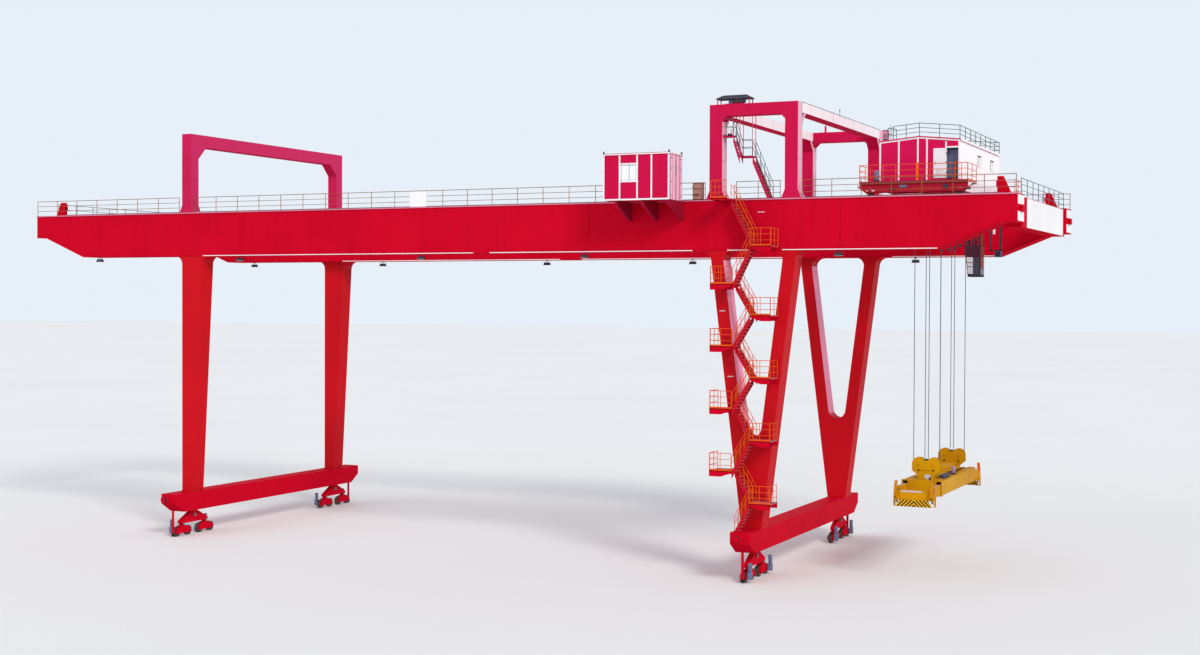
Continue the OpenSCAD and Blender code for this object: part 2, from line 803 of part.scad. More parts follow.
// A flight from its head to its foot, with its outline in the XZ plane
module stringer_pair(xa, za, xb, zb, y, w) {
  for (t = [-1, 1])
    translate([0, y + t * (w - stringer_t) / 2, 0])
      along_y(stringer_t)
        polygon([[xa, za], [xa, za - stringer_h], [xb, max(zb - stringer_h, 0)], [xb, zb]]);
}
module standing_pair(xa, za, xb, zb, y, w) {
  k = (xb - xa) / (zb - za);
  for (t = [-1, 1])
    translate([0, y + t * (w - stringer_t) / 2, 0])
      along_y(stringer_t)
        polygon([[xa, za], [xa, za - stringer_h], [xb + k * stringer_h, zb], [xb, zb]]);
}
module treads(xa, za, xb, zb, y, w) {
  n = round((za - zb) / riser);
  for (i = [1 : n - 1])
    translate([xa + (xb - xa) * i / n, y, za - (za - zb) * i / n - tread_drop])
      cube([tread_d, w - 2 * stringer_t, tread_t], center = true);
}
module slope_rails(xa, za, xb, zb, y, w) {
  t2 = stair_rail_t * 1.5;
  for (t = [-1, 1])
    translate([0, y + t * (w - stringer_t) / 2, 0])
      along_y(stair_rail_t) {
        for (k = [0.5, 1])
          polygon([[xa, za + stair_rail_h * k], [xa, za + stair_rail_h * k - t2],
            [xb, zb + stair_rail_h * k - t2], [xb, zb + stair_rail_h * k]]);
        for (u = [0, 0.5, 1]) {
          d = (xb > xa ? 1 : -1) * stair_rail_t;
          x = xa + (xb - xa - d) * u;
          za2 = za + (zb - za) * (x - xa) / (xb - xa);
          zb2 = za + (zb - za) * (x + d - xa) / (xb - xa);
          polygon([[x, za2 + seat_gap], [x + d, zb2 + seat_gap], [x + d, zb2 + stair_rail_h - 2],
            [x, za2 + stair_rail_h - 2]]);
        }
      }
}
portal_foot = right_x + portal_foot_x;
portal_low0 = right_x + portal_low_x0;
portal_low1 = right_x + portal_low_x1;
portal_high0 = right_x - portal_in;
portal_high1 = right_x + portal_high_x1;

module stair_stringers() {
  color(crane_red) {
    for (i = [0 : flight_count - 2])
      stringer_pair(near_x(i), landing_z(i), near_x(i + 1), landing_z(i + 1), band_y(i), stair_w);
    standing_pair(near_x(flight_count - 1), landing_z(flight_count - 1),
      foot_x(flight_count), foot_z(flight_count), band_y(flight_count - 1), stair_w);
    standing_pair(portal_low1, portal_low_z, portal_foot, girder_top,
      portal_stair_y, portal_stair_w);
    stringer_pair(portal_high1, portal_high_z, portal_low0, portal_low_z,
      portal_stair_y, portal_stair_w);
  }
}
module stair_treads() {
  color(steel_grey) {
    for (i = [0 : flight_count - 1])
      treads(near_x(i), landing_z(i), foot_x(i + 1), foot_z(i + 1), band_y(i), stair_w);
    treads(portal_low1, portal_low_z, portal_foot, girder_top, portal_stair_y, portal_stair_w);
    treads(portal_high1, portal_high_z, portal_low0, portal_low_z,
      portal_stair_y, portal_stair_w);
  }
}
// Landings with the brackets that carry them
module landing(i) {
  x0 = min(near_x(i), far_x(i));
  x1 = max(near_x(i), far_x(i));
  z = landing_z(i);
  far_left = far_x(i) < near_x(i);
  block([x0, -outer_y - landing_d, z - landing_t], [x1, -outer_y, z]);
  for (y = [-outer_y - landing_d, -outer_y - landing_t])
    translate([0, y + landing_t / 2, 0])
      along_y(landing_t)
        polygon(far_left
          ? [[x0, z - landing_t + 1], [x1, z - landing_t + 1], [x1, z - bracket_tip],
             [x1 - 330, z - bracket_h], [x0, z - bracket_h]]
          : [[x0, z - landing_t + 1], [x1, z - landing_t + 1], [x1, z - bracket_h],
             [x0 + 330, z - bracket_h], [x0, z - bracket_tip]]);
}
module stair_landings() {
  color(crane_red) {
    block([far_x(0), -outer_y - landing_d, girder_top - landing_t],
      [near_x(0), -outer_y, girder_top]);
    for (i = [1 : flight_count - 1]) landing(i);
    y0 = portal_stair_y - portal_stair_w / 2;
    y1 = portal_stair_y + portal_stair_w / 2;
    block([portal_high0, y0, portal_high_z - landing_t], [portal_high1, y1, portal_high_z]);
    block([portal_low0, y0, portal_low_z - landing_t], [portal_low1, y1, portal_low_z]);
    for (x = [portal_low0, portal_low1 - hanger_t]) for (y = [y0, y1 - hanger_t])
      block([x, y, portal_low_z - 1], [x + hanger_t, y + hanger_t, right_beam_under]);
    for (y = [y0, y1 - hanger_t])
      block([portal_high1 - hanger_t, y, portal_high_z - 1],
        [portal_high1, y + hanger_t, right_beam_under]);
  }
}
module landing_rails(i) {
  x0 = min(near_x(i), far_x(i));
  x1 = max(near_x(i), far_x(i));
  z = landing_z(i);
  y0 = -outer_y - landing_d;
  end_x = far_x(i) < near_x(i) ? x0 + rail_t / 2 : x1 - rail_t / 2;
  fence(x0, x1, z, y0 + rail_t / 2, handrail_h, x1 - x0);
  fence_y(y0 + rail_t + seat_gap, -outer_y - 30, z, end_x, handrail_h, landing_d);
}
module stair_handrails() {
  color(rail_yellow) {
    for (i = [0 : flight_count - 1])
      slope_rails(near_x(i), landing_z(i), foot_x(i + 1), foot_z(i + 1), band_y(i), stair_w);
    for (i = [0 : flight_count - 1]) landing_rails(i);
    slope_rails(portal_low1, portal_low_z, portal_foot, girder_top,
      portal_stair_y, portal_stair_w);
  }
}

// Trolley frame: two end trucks, two cross beams and the rope beams
truck_y = rail_y;
truck_z0 = truck_top - truck_h;
module end_truck(s) {
  l = truck_l / 2;
  translate([trolley_x, s * truck_y, 0]) {
    for (t = [-1, 1])
      translate([0, t * (truck_w / 2 - truck_plate / 2), 0])
        along_y(truck_plate)
          polygon([[-l, truck_top], [l, truck_top], [l, truck_top - 130], [l - 160, truck_z0],
            [-l + 160, truck_z0], [-l, truck_top - 130]]);
    well = trolley_wheel_d / 2 + 15 + 20;
    block([-trolley_base / 2 + well, -truck_w / 2, truck_top - 40],
      [trolley_base / 2 - well, truck_w / 2, truck_top]);
    for (t = [-1, 1])
      scale([t, 1, 1])
        block([trolley_base / 2 + well, -truck_w / 2, truck_top - 40], [l, truck_w / 2, truck_top]);
    for (x = [-l, -trolley_base / 2 + 200, trolley_base / 2 - 225, l - 25])
      block([x, -truck_w / 2 + 1, truck_top - 129], [x + 25, truck_w / 2 - 1, truck_top - 1]);
    for (t = [-1, 1])
      translate([t * (l + 45), 0, truck_top - 65])
        rotate([0, 90, 0]) cylinder(d = 90, h = 92, center = true);
  }
}
module trolley_frame() {
  in_y = truck_y - truck_w / 2;
  cx = house_w / 2 - cross_w / 2;
  rope_y = housing_gap / 2;
  color(crane_red) {
    for (s = [-1, 1]) end_truck(s);
    for (t = [-1, 1])
      translate([house_x + t * cx, 0, 0])
        along_x(cross_w)
          polygon([[-in_y - 1, truck_top - 130], [-in_y + 500, cross_bottom],
            [in_y - 500, cross_bottom], [in_y + 1, truck_top - 130], [in_y + 1, truck_top],
            [house_l / 2, truck_top], [house_l / 2, house_z], [-house_l / 2, house_z],
            [-house_l / 2, truck_top], [-in_y - 1, truck_top]]);
    for (s = [-1, 1])
      block([house_x - cx, s * rope_y - 130, cross_bottom], [house_x + cx, s * rope_y + 130, house_z]);
  }
}
module trolley_wheels() {
  color(steel_grey)
    for (s = [-1, 1]) for (t = [-1, 1])
      translate([trolley_x + t * trolley_base / 2, s * truck_y,
        rail_top + seat_gap + trolley_wheel_d / 2])
        rotate([90, 0, 0]) {
          cylinder(d = trolley_wheel_d, h = rail_head + 2 * run_gap, center = true);
          for (u = [-1, 1])
            translate([0, 0, u * (rail_head / 2 + run_gap + 6)])
              cylinder(d = trolley_wheel_d + 30, h = 12, center = true);
          cylinder(d = 90, h = truck_w - 2 * truck_plate, center = true);
        }
}
// Walkway plates over the end trucks
deck_y = truck_y + deck_out;
module trolley_deck() {
  l = truck_l / 2;
  color(crane_red)
    for (s = [-1, 1])
      translate([trolley_x, 0, 0]) scale([1, s, 1]) {
        block([-l, house_l / 2 + 1, truck_top], [l, deck_y, truck_top + deck_t]);
        block([-l, deck_y - 20, truck_top + deck_t - 1], [l, deck_y, truck_top + deck_t + 50]);
      }
}
module trolley_handrails() {
  l = truck_l / 2;
  z = truck_top + deck_t;
  color(rail_yellow)
    for (s = [-1, 1]) scale([1, s, 1]) {
      fence(trolley_x - l, trolley_x + l, z + 50, deck_y - rail_t / 2, handrail_h - 50, 800);
      for (x = [trolley_x - l + rail_t / 2, trolley_x + l - rail_t / 2])
        fence_y(house_l / 2 + 60, deck_y - 20 - seat_gap, z, x, handrail_h, 700);
    }
}

// Machinery house with its floor, doorway and side windows
h_x0 = house_x - house_w / 2;
h_x1 = house_x + house_w / 2;
h_y = house_l / 2;
door_x1 = h_x1 - house_wall;
function gable_z(x) = eaves_z + roof_rise * (1 - abs(x - house_x) / (house_w / 2));
module machinery_house_walls() {
  color(crane_red)
    difference() {
      along_y(house_l)
        polygon([[h_x0, house_z], [h_x1, house_z], [h_x1, eaves_z],
          [house_x, eaves_z + roof_rise], [h_x0, eaves_z]]);
      block([h_x0 + house_wall, -h_y + house_wall, wall_z],
        [h_x1 - house_wall, h_y - house_wall, eaves_z + roof_rise + 1]);
      block([door_x1 - door_w, -h_y - 1, wall_z], [door_x1, -h_y + house_wall + 1, wall_z + door_h]);
      for (y = side_window_y)
        block([h_x1 - house_wall - 1, y - side_window_w / 2, wall_z + side_window_z],
          [h_x1 + 1, y + side_window_w / 2, wall_z + side_window_z + side_window_h]);
    }
}
module machinery_house_roof() {
  x0 = h_x0 - roof_out;
  x1 = h_x1 + roof_out;
  bx = h_x0 + roof_box_x;
  color(crane_red) {
    along_y(house_l + 2 * roof_out)
      polygon([[x0, gable_z(x0)], [house_x, gable_z(house_x)], [x1, gable_z(x1)],
        [x1, gable_z(x1) + roof_edge], [house_x, gable_z(house_x) + roof_edge],
        [x0, gable_z(x0) + roof_edge]]);
    block([bx, -h_y + 20, eaves_z + roof_edge - 1],
      [bx + roof_box_w, -h_y + 220, eaves_z + roof_box_h]);
  }
}
module machinery_house_battens() {
  w = batten_w / 2;
  t = batten_t;
  xs = concat([h_x0 + w], [for (d = house_batten_x) house_x + d], [h_x1 - w]);
  door_top = wall_z + door_h + 12;
  color(trim_white) {
    for (s = [-1, 1]) translate([0, s * (h_y + t / 2), 0])
      along_y(t) {
        for (x = xs)
          polygon([[x - w, house_z], [x + w, house_z], [x + w, gable_z(x + w) - batten_w + 1],
            [x - w, gable_z(x - w) - batten_w + 1]]);
        polygon([[h_x0, eaves_z - batten_w], [house_x, gable_z(house_x) - batten_w],
          [h_x1, eaves_z - batten_w], [h_x1, eaves_z], [house_x, gable_z(house_x)],
          [h_x0, eaves_z]]);
      }
    block([door_x1 - door_w - batten_w, -h_y - t, door_top],
      [door_x1 - door_w, -h_y, eaves_z - batten_w + 1]);
    block([door_x1 - door_w - batten_w, -h_y - t, door_top],
      [h_x1 - w, -h_y, door_top + batten_w]);
  }
}
// Door leaf folded back against the wall beside the doorway
module machinery_house_door() {
  x1 = door_x1 - door_w - 4;
  color(trim_white) {
    block([x1 - leaf_w, -h_y - 22, wall_z + 8], [x1, -h_y, wall_z + door_h + 8]);
    block([x1 - leaf_w + 50, -h_y - 40, wall_z + door_h / 2 - 10],
      [x1 - leaf_w + 80, -h_y - 21, wall_z + door_h / 2 + 90]);
  }
}
module roof_handrail() {
  x0 = h_x0 + roof_box_x + roof_box_w + 180;
  x1 = h_x1 + roof_out - rail_t;
  y0 = -h_y - roof_out + rail_t;
  side_y = -y0 - rail_t / 2 - seat_gap;
  side_z = gable_z(x1 - rail_t) + roof_edge;
  function roof_z(x) = gable_z(x) + roof_edge;
  posts = [x0, house_x - rail_t, (house_x + x1) / 2 - rail_t / 2, x1 - rail_t];
  color(dark_grey) {
    for (s = [-1, 1])
      translate([0, s * -y0, 0])
        along_y(rail_t) {
          for (x = posts)
            polygon([[x, roof_z(x) + seat_gap], [x + rail_t, roof_z(x + rail_t) + seat_gap],
              [x + rail_t, roof_z(x + rail_t) + roof_rail_h - 3], [x, roof_z(x) + roof_rail_h - 3]]);
          for (m = [1 / 3, 2 / 3, 1]) {
            h = roof_rail_h * m;
            for (q = [[x0, house_x], [house_x, x1]])
              polygon([[q[0], roof_z(q[0]) + h], [q[1], roof_z(q[1]) + h],
                [q[1], roof_z(q[1]) + h - rail_t], [q[0], roof_z(q[0]) + h - rail_t]]);
          }
        }
    n = 8;
    translate([x1 - rail_t / 2, 0, 0])
      along_x(rail_t) {
        for (i = [0 : n])
          translate([-side_y + (2 * side_y - rail_t) * i / n, side_z + seat_gap])
            square([rail_t, roof_rail_h - 3]);
        for (m = [1 / 3, 2 / 3, 1])
          translate([-side_y, side_z + roof_rail_h * m - rail_t]) square([2 * side_y, rail_t]);
      }
  }
}
cab_l0 = house_x + cab_x0;
cab_l1 = cab_l0 + cab_l;
cab_top = cab_z + cab_h;
module cab_outline(d) {
  polygon([[cab_l0 + d, cab_top - d], [cab_l0 + cab_rake + d, cab_z + d],
    [cab_l1 - d, cab_z + d], [cab_l1 - d, cab_top - d]]);
}
cab_panes = [[cab_l0 + cab_rake + 30, cab_l0 + cab_rake + 190],
  [cab_l0 + cab_rake + 220, cab_l1 - 45]];
module cab_body() {
  z0 = cab_z + cab_window_z;
  color(dark_grey)
    difference() {
      along_y(cab_w) cab_outline(0);
      along_y(cab_w - 2 * cab_wall) cab_outline(cab_wall);
      for (p = cab_panes)
        block([p[0], -cab_w, z0], [p[1], cab_w, z0 + cab_window_h]);
      block([cab_l0 - 50, -cab_w / 2 + 70, z0],
        [cab_l0 + cab_rake + 25, cab_w / 2 - 70, z0 + cab_window_h]);
      block([cab_l1 - cab_wall - 20, -cab_w / 2 + 70, z0],
        [cab_l1 + 20, cab_w / 2 - 70, z0 + cab_window_h]);
    }
}
module trolley_glass() {
  z0 = cab_z + cab_window_z;
  z1 = z0 + cab_window_h;
  k = cab_rake / cab_h;
  function front_x(z) = cab_l0 + k * (cab_top - z) + cab_wall / 2;
  color([0.45, 0.6, 0.7]) {
    along_y(cab_w - 140)
      polygon([[front_x(z0), z0], [front_x(z0) + glass_t, z0],
        [front_x(z1) + glass_t, z1], [front_x(z1), z1]]);
    block([cab_l1 - cab_wall / 2, -cab_w / 2 + 70, z0],
      [cab_l1 - cab_wall / 2 + glass_t, cab_w / 2 - 70, z1]);
    for (s = [-1, 1]) for (p = cab_panes)
      block([p[0], s * (cab_w / 2 - cab_wall / 2) - glass_t / 2, z0],
        [p[1], s * (cab_w / 2 - cab_wall / 2) + glass_t / 2, z1]);
    for (y = side_window_y)
      block([h_x1 - house_wall / 2, y - side_window_w / 2, wall_z + side_window_z],
        [h_x1 - house_wall / 2 + glass_t, y + side_window_w / 2,
          wall_z + side_window_z + side_window_h]);
  }
}
// Frame that hangs the cab under the cross beam, its ladder, and a service frame
module cab_hanger() {
  y = cab_w / 2 - hanger_w;
  x0 = cab_l0;
  x1 = cab_l1 - hanger_w;
  z1 = cross_bottom - hanger_beam_h;
  ladder_y = -cab_w / 2 + 20;
  ladder_n = floor((z1 - cab_z - 300) / riser);
  sx0 = h_x1 - hanger_w;
  sx1 = sx0 + service_l;
  sz = cross_bottom - service_drop;
  sy = service_y;
  hw = hanger_w / 2;
  color(dark_grey) {
    for (s = [-1, 1]) {
      for (x = [x0, (x0 + x1) / 2, x1])
        block([x, s * y - hw, cab_top], [x + hanger_w, s * y + hw, z1 + 1]);
      block([x0, s * y - hw, z1], [x1 + hanger_w, s * y + hw, cross_bottom]);
    }
    for (x = [x0, x1])
      block([x, -y, z1], [x + hanger_w, y, z1 + hanger_beam_h / 2]);
    for (v = [0, ladder_w])
      block([cab_l1, ladder_y + v, cab_z + 250], [cab_l1 + 24, ladder_y + v + 20, z1 + 60]);
    for (i = [0 : ladder_n])
      block([cab_l1 + 5, ladder_y + 10, cab_z + 300 + i * riser],
        [cab_l1 + 17, ladder_y + ladder_w + 10, cab_z + 312 + i * riser]);
    block([x1, -y - hw, z1], [cab_l1 + 24, -y + hw, z1 + hanger_beam_h / 2]);
    block([cab_l1 - 1, -y, z1], [cab_l1 + 24, ladder_y + ladder_w + 20, z1 + hanger_beam_h / 2]);
    block([sx0, sy - hw, z1], [sx1, sy + hw, cross_bottom]);
    block([sx0, sy - hw, sz + 200], [sx0 + hanger_w, sy + hw, z1 + 1]);
    block([sx1 - hanger_w, sy - hw, sz], [sx1, sy + hw, z1 + 1]);
    block([sx0, sy - hw, sz + 200], [sx1, sy + hw, sz + 230]);
    block([sx1 - 190, sy - 110, sz], [sx1, sy + 110, sz + 201]);
  }
}

// Hoist ropes from the rope beams down to the sheaves
module hoist_ropes() {
  color(dark_grey)
    for (s = [-1, 1]) for (t = [-1, 1]) for (u = [-1, 1])
      translate([spreader_x + t * sheave_x + u * (sheave_r + rope_d / 2 + seat_gap),
        s * housing_gap / 2, sheave_z])
        cylinder(d = rope_d, h = cross_bottom - sheave_z, $fn = 16);
}
// Head block: a box beam with a sheave housing at each end
module head_block() {
  y1 = housing_gap / 2;
  yp = housing_in / 2 + housing_t / 2;
  lobe_w = sheave_x + lobe_r;
  stem = stem_w / 2;
  z0 = spreader_top - stem_drop;
  z1 = spreader_top + stem_top;
  color(spreader_yellow)
    translate([spreader_x, 0, 0]) {
      block([-head_base_w / 2, -y1 - yp, spreader_top], [head_base_w / 2, y1 + yp,
        spreader_top + head_low_h]);
      block([-head_base_w / 3, -y1 + yp - 1, spreader_top + head_low_h - 1],
        [head_base_w / 3, y1 - yp + 1, spreader_top + head_base_h]);
      for (s = [-1, 1]) for (t = [-1, 1])
        translate([0, s * y1 + t * yp, 0])
          difference() {
            union() {
              along_y(housing_t)
                polygon([[-stem, z0], [stem, z0], [stem, z1], [lobe_w, sheave_z - lobe_r],
                  [lobe_w, sheave_z], [sheave_x, sheave_z + lobe_r / 2],
                  [-sheave_x, sheave_z + lobe_r / 2], [-lobe_w, sheave_z],
                  [-lobe_w, sheave_z - lobe_r], [-stem, z1]]);
              for (u = [-1, 1])
                translate([u * sheave_x, 0, sheave_z])
                  rotate([90, 0, 0]) cylinder(r = lobe_r, h = housing_t, center = true);
            }
            for (u = [-1, 1])
              translate([u * sheave_x, 0, sheave_z - plate_hole_drop])
                rotate([90, 0, 0]) cylinder(d = plate_hole_d, h = housing_t + 2, center = true);
          }
    }
}
module sheaves() {
  color(dark_grey)
    for (s = [-1, 1]) for (u = [-1, 1])
      translate([spreader_x + u * sheave_x, s * housing_gap / 2, sheave_z])
        rotate([90, 0, 0]) {
          cylinder(r = sheave_r, h = 60, center = true);
          cylinder(r = 45, h = housing_in, center = true);
        }
}
// Main frame: two hollow tubes joined by cross boxes
module spreader_frame() {
  l = frame_l / 2;
  in_x = tube_x - tube_w / 2;
  color(spreader_yellow)
    translate([spreader_x, 0, spreader_z]) {
      difference() {
        union() {
          for (t = [-1, 1])
            block([t * tube_x - tube_w / 2, -l, 0], [t * tube_x + tube_w / 2, l, tube_h]);
          for (y = [-l + cross_box_w, -housing_gap / 2, 0, housing_gap / 2, l - cross_box_w])
            block([-in_x - 1, y - cross_box_w / 2 + 5, 60], [in_x + 1, y + cross_box_w / 2 - 5, tube_h]);
        }
        for (t = [-1, 1])
          block([t * tube_x - tube_w / 2 + tube_t, -l - 1, tube_t],
            [t * tube_x + tube_w / 2 - tube_t, l + 1, tube_h - tube_t]);
      }
    }
}
// Sliding end with its two arms, end beam, twistlocks and flipper ears
arm_w = tube_w - 2 * tube_t - 2 * slide_gap;
arm_h = tube_h - 2 * tube_t - 2 * slide_gap - 80;
module spreader_end(s) {
  y1 = reach;
  y0 = reach - end_beam_w;
  ya = frame_l / 2 - arm_overlap;
  hw = spreader_w / 2;
  color(spreader_yellow)
    translate([spreader_x, 0, 0]) scale([1, s, 1]) {
      difference() {
        union() {
          block([-hw, y0, end_beam_z], [hw, y1, end_beam_z + end_beam_h]);
          translate([0, y1 + skirt_t / 2 - 1, 0])
            along_y(skirt_t + 2)
              polygon([[-skirt_top_w, end_beam_z + 40], [-skirt_top_w, end_beam_z],
                [-skirt_foot_w, end_beam_z - skirt_h], [skirt_foot_w, end_beam_z - skirt_h],
                [skirt_top_w, end_beam_z], [skirt_top_w, end_beam_z + 40]]);
          for (t = [-1, 1]) {
            block([t * tube_x - arm_w / 2, ya, spreader_z + tube_t + slide_gap],
              [t * tube_x + arm_w / 2, y0 + 1, spreader_z + tube_t + slide_gap + arm_h]);
            block([t * (hw + guide_t / 2) - guide_t / 2 - 1, y0, end_beam_z - skirt_h],
              [t * (hw + guide_t / 2) + guide_t / 2 + 1, y1, end_beam_z + 100]);
            block([t * tube_x - arm_w / 2, ya, spreader_z + tube_t + seat_gap],
              [t * tube_x + arm_w / 2, ya + 120, spreader_z + tube_t + slide_gap + 1]);
            block([t * tube_x - arm_w / 2, ya, spreader_z + tube_t + slide_gap + arm_h - 1],
              [t * tube_x + arm_w / 2, ya + 120, spreader_z + tube_h - tube_t - seat_gap]);
            for (u = [-1, 1])
              translate([t * flipper_x + u * (flipper_w / 2 + ear_t / 2 + seat_gap), 0, 0])
                along_x(ear_t)
                  polygon([[y1 - 1, flipper_z - ear_h], [y1 + ear_out - 30, flipper_z - ear_h],
                    [y1 + ear_out, flipper_z - ear_h / 3], [y1 + ear_out, flipper_z + ear_h / 2],
                    [y1 + ear_out - 50, flipper_z + ear_h], [y1 - 1, flipper_z + ear_h]]);
            translate([t * (hw - lock_in), y1 - end_beam_w / 2, end_beam_z - lock_h])
              cylinder(d1 = 30, d2 = 64, h = lock_h + 1, $fn = 24);
          }
        }
        for (t = [-1, 1])
          translate([t * flipper_x, flipper_y, flipper_z])
            rotate([0, 90, 0])
              cylinder(r = flipper_pin + seat_gap, h = flipper_w + 2 * ear_t + 10, center = true);
      }
    }
}
module front_spreader_end() { spreader_end(-1); }
module rear_spreader_end() { spreader_end(1); }

// Corner flipper, raised, with its pivot pin
module flipper(sx, sy) {
  color([0.95, 0.42, 0.05])
    translate([spreader_x + sx * flipper_x, 0, 0]) scale([1, sy, 1]) {
      along_x(flipper_w)
        polygon([[flipper_y - flipper_t / 2, flipper_z], [flipper_y + flipper_t / 2, flipper_z],
          [flipper_y + flipper_t / 2, flipper_z + flipper_bend],
          [flipper_y + flipper_t / 2 - flipper_lean, flipper_z + flipper_l],
          [flipper_y - flipper_lean, flipper_z + flipper_l],
          [flipper_y - flipper_t / 2, flipper_z + flipper_bend]]);
      translate([0, flipper_y, flipper_z])
        rotate([0, 90, 0]) {
          cylinder(r = 34, h = flipper_w, center = true);
          cylinder(r = flipper_pin, h = flipper_w + 2 * ear_t, center = true);
        }
    }
}
module front_left_flipper() { flipper(-1, -1); }
module front_right_flipper() { flipper(1, -1); }
module rear_left_flipper() { flipper(-1, 1); }
module rear_right_flipper() { flipper(1, 1); }

front_girder();
rear_girder();
end_ties();
trolley_rails();
end_stops();
front_handrail();
rear_handrail();
end_handrails();
left_portal_columns();
left_portal_beam();
right_portal_front();
right_portal_rear();
right_portal_side_beams();
hoist_canopy();
left_front_leg();
left_rear_leg();
right_front_leg();
right_rear_leg();
left_sill_beam();
right_sill_beam();
bogies();
ground_wheels();
e_house_walls();
e_house_roof();
e_house_window();
e_house_battens();
e_house_brackets();
utility_cabinet();
sign_board();
floodlights();
stair_stringers();
stair_treads();
stair_landings();
stair_handrails();
trolley_frame();
trolley_wheels();
trolley_deck();
trolley_handrails();
machinery_house_walls();
machinery_house_roof();
machinery_house_battens();
machinery_house_door();
roof_handrail();
trolley_glass();
cab_body();
cab_hanger();
hoist_ropes();
head_block();
sheaves();
spreader_frame();
front_spreader_end();
rear_spreader_end();
front_left_flipper();
front_right_flipper();
rear_left_flipper();
rear_right_flipper();
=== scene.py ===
import math

import bpy
import numpy as np
from mathutils import Matrix, Vector


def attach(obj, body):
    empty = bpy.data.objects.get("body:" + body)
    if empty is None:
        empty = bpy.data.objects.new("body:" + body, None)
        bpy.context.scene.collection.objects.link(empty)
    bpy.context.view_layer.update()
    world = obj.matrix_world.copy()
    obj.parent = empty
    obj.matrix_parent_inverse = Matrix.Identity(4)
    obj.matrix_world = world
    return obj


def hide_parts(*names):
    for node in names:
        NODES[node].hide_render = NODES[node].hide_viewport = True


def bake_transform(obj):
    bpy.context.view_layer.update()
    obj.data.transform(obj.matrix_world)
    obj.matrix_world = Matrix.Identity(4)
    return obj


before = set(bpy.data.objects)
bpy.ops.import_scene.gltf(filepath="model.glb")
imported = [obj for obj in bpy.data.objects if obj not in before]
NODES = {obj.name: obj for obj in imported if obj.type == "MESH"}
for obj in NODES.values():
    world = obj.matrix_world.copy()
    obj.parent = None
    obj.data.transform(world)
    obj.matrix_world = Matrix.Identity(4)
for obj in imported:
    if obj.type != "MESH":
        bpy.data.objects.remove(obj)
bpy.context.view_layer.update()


# Materials
def srgb(r, g, b):
    out = []
    for c in (r, g, b):
        c /= 255.0
        out.append(c / 12.92 if c <= 0.04045 else ((c + 0.055) / 1.055) ** 2.4)
    return (*out, 1.0)


class Nodes:
    """A small helper that adds and links shader nodes."""

    def __init__(self, name):
        self.mat = bpy.data.materials.new(name)
        self.mat.use_nodes = True
        self.tree = self.mat.node_tree
        self.bsdf = self.tree.nodes["Principled BSDF"]
        self.co = self.tree.nodes.new("ShaderNodeTexCoord").outputs["Object"]

    def feed(self, n, inputs):
        """Links the sockets among the inputs and sets the plain values."""
        for key, v in inputs.items():
            if isinstance(key, str):
                key = key.replace("_", " ")
            if isinstance(v, bpy.types.NodeSocket):
                self.tree.links.new(v, n.inputs[key])
            else:
                n.inputs[key].default_value = v
        return n

    def new(self, kind, **inputs):
        return self.feed(self.tree.nodes.new("ShaderNode" + kind), inputs)

    def surface(self, colour, rough, **inputs):
        self.feed(self.bsdf, {"Base Color": colour, "Roughness": rough, **inputs})
        return self.mat

    def noise(self, scale, detail=4, rough=0.6, stretch=(1, 1, 1)):
        at = self.new("Mapping", Vector=self.co, Scale=stretch).outputs["Vector"]
        return self.new("TexNoise", Vector=at, Scale=scale, Detail=detail, Roughness=rough).outputs["Fac"]

    def ramp(self, fac, a, b):
        return self.new("MapRange", Value=fac, From_Min=a, From_Max=b).outputs["Result"]

    def mix(self, fac, a, b):
        """Mixes two colours: sockets, three numbers up to 255, or four linear ones."""
        n = self.tree.nodes.new("ShaderNodeMix")
        n.data_type = "RGBA"
        a, b = (srgb(*c) if isinstance(c, tuple) and len(c) == 3 else c for c in (a, b))
        return self.feed(n, {0: fac, 6: a, 7: b}).outputs[2]

    def math(self, op, a, b=0.0):
        n = self.tree.nodes.new("ShaderNodeMath")
        n.operation = op
        return self.feed(n, {0: a, 1: b}).outputs[0]

    def split(self, vector):
        return self.new("SeparateXYZ", Vector=vector).outputs

    def bump(self, height, strength, distance):
        n = self.new("Bump", Height=height, Strength=strength, Distance=distance)
        self.feed(self.bsdf, {"Normal": n.outputs["Normal"]})


def paint(name, colour, dirt, shade, rough=0.5, grime=0.3, painted_highlight=None, highlight_amount=0.9, ior=1.22, above=None, spec=0.3):
    """Site paint with broad tone changes, rain streaks and chips. Faces towards +X take a painted highlight colour:
    painted sun glare and sky reflection on that side.
    """
    m = Nodes(name)
    broad = m.ramp(m.noise(0.35, 3), 0.3, 0.75)
    streak = m.ramp(m.noise(2.2, 5, 0.7, (3.0, 3.0, 0.22)), 0.52, 0.9)
    speck = m.ramp(m.noise(26.0, 3), 0.7, 0.8)
    base = m.mix(broad, colour, shade)
    if above:
        base = m.mix(m.math("GREATER_THAN", m.split(m.co)["Z"], above[0]), base, above[1])
    base = m.mix(m.math("MULTIPLY", streak, grime), base, dirt)
    base = m.mix(m.math("MULTIPLY", speck, grime * 0.5), base, dirt)
    normal = m.split(m.new("NewGeometry").outputs["Normal"])
    under = m.ramp(m.math("MULTIPLY", normal["Z"], -1.0), 0.3, 0.6)
    # Faces towards +X are painted paler: a painted highlight of sun glare and sky reflection, not a colour of the
    # paint.
    if painted_highlight:
        highlight_mask = m.math("MULTIPLY", m.ramp(normal["X"], 0.75, 0.97), m.ramp(normal["Z"], -0.04, -0.01))
        base = m.mix(m.math("MULTIPLY", highlight_mask, highlight_amount), base, painted_highlight)
    rough = m.math("ADD", m.math("MULTIPLY", m.noise(7.0), 0.22), rough - 0.08)
    m.bump(m.noise(9.0, 5), 0.08, 0.008)
    return m.surface(base, m.math("MAXIMUM", rough, under), IOR=ior, Specular_IOR_Level=spec)


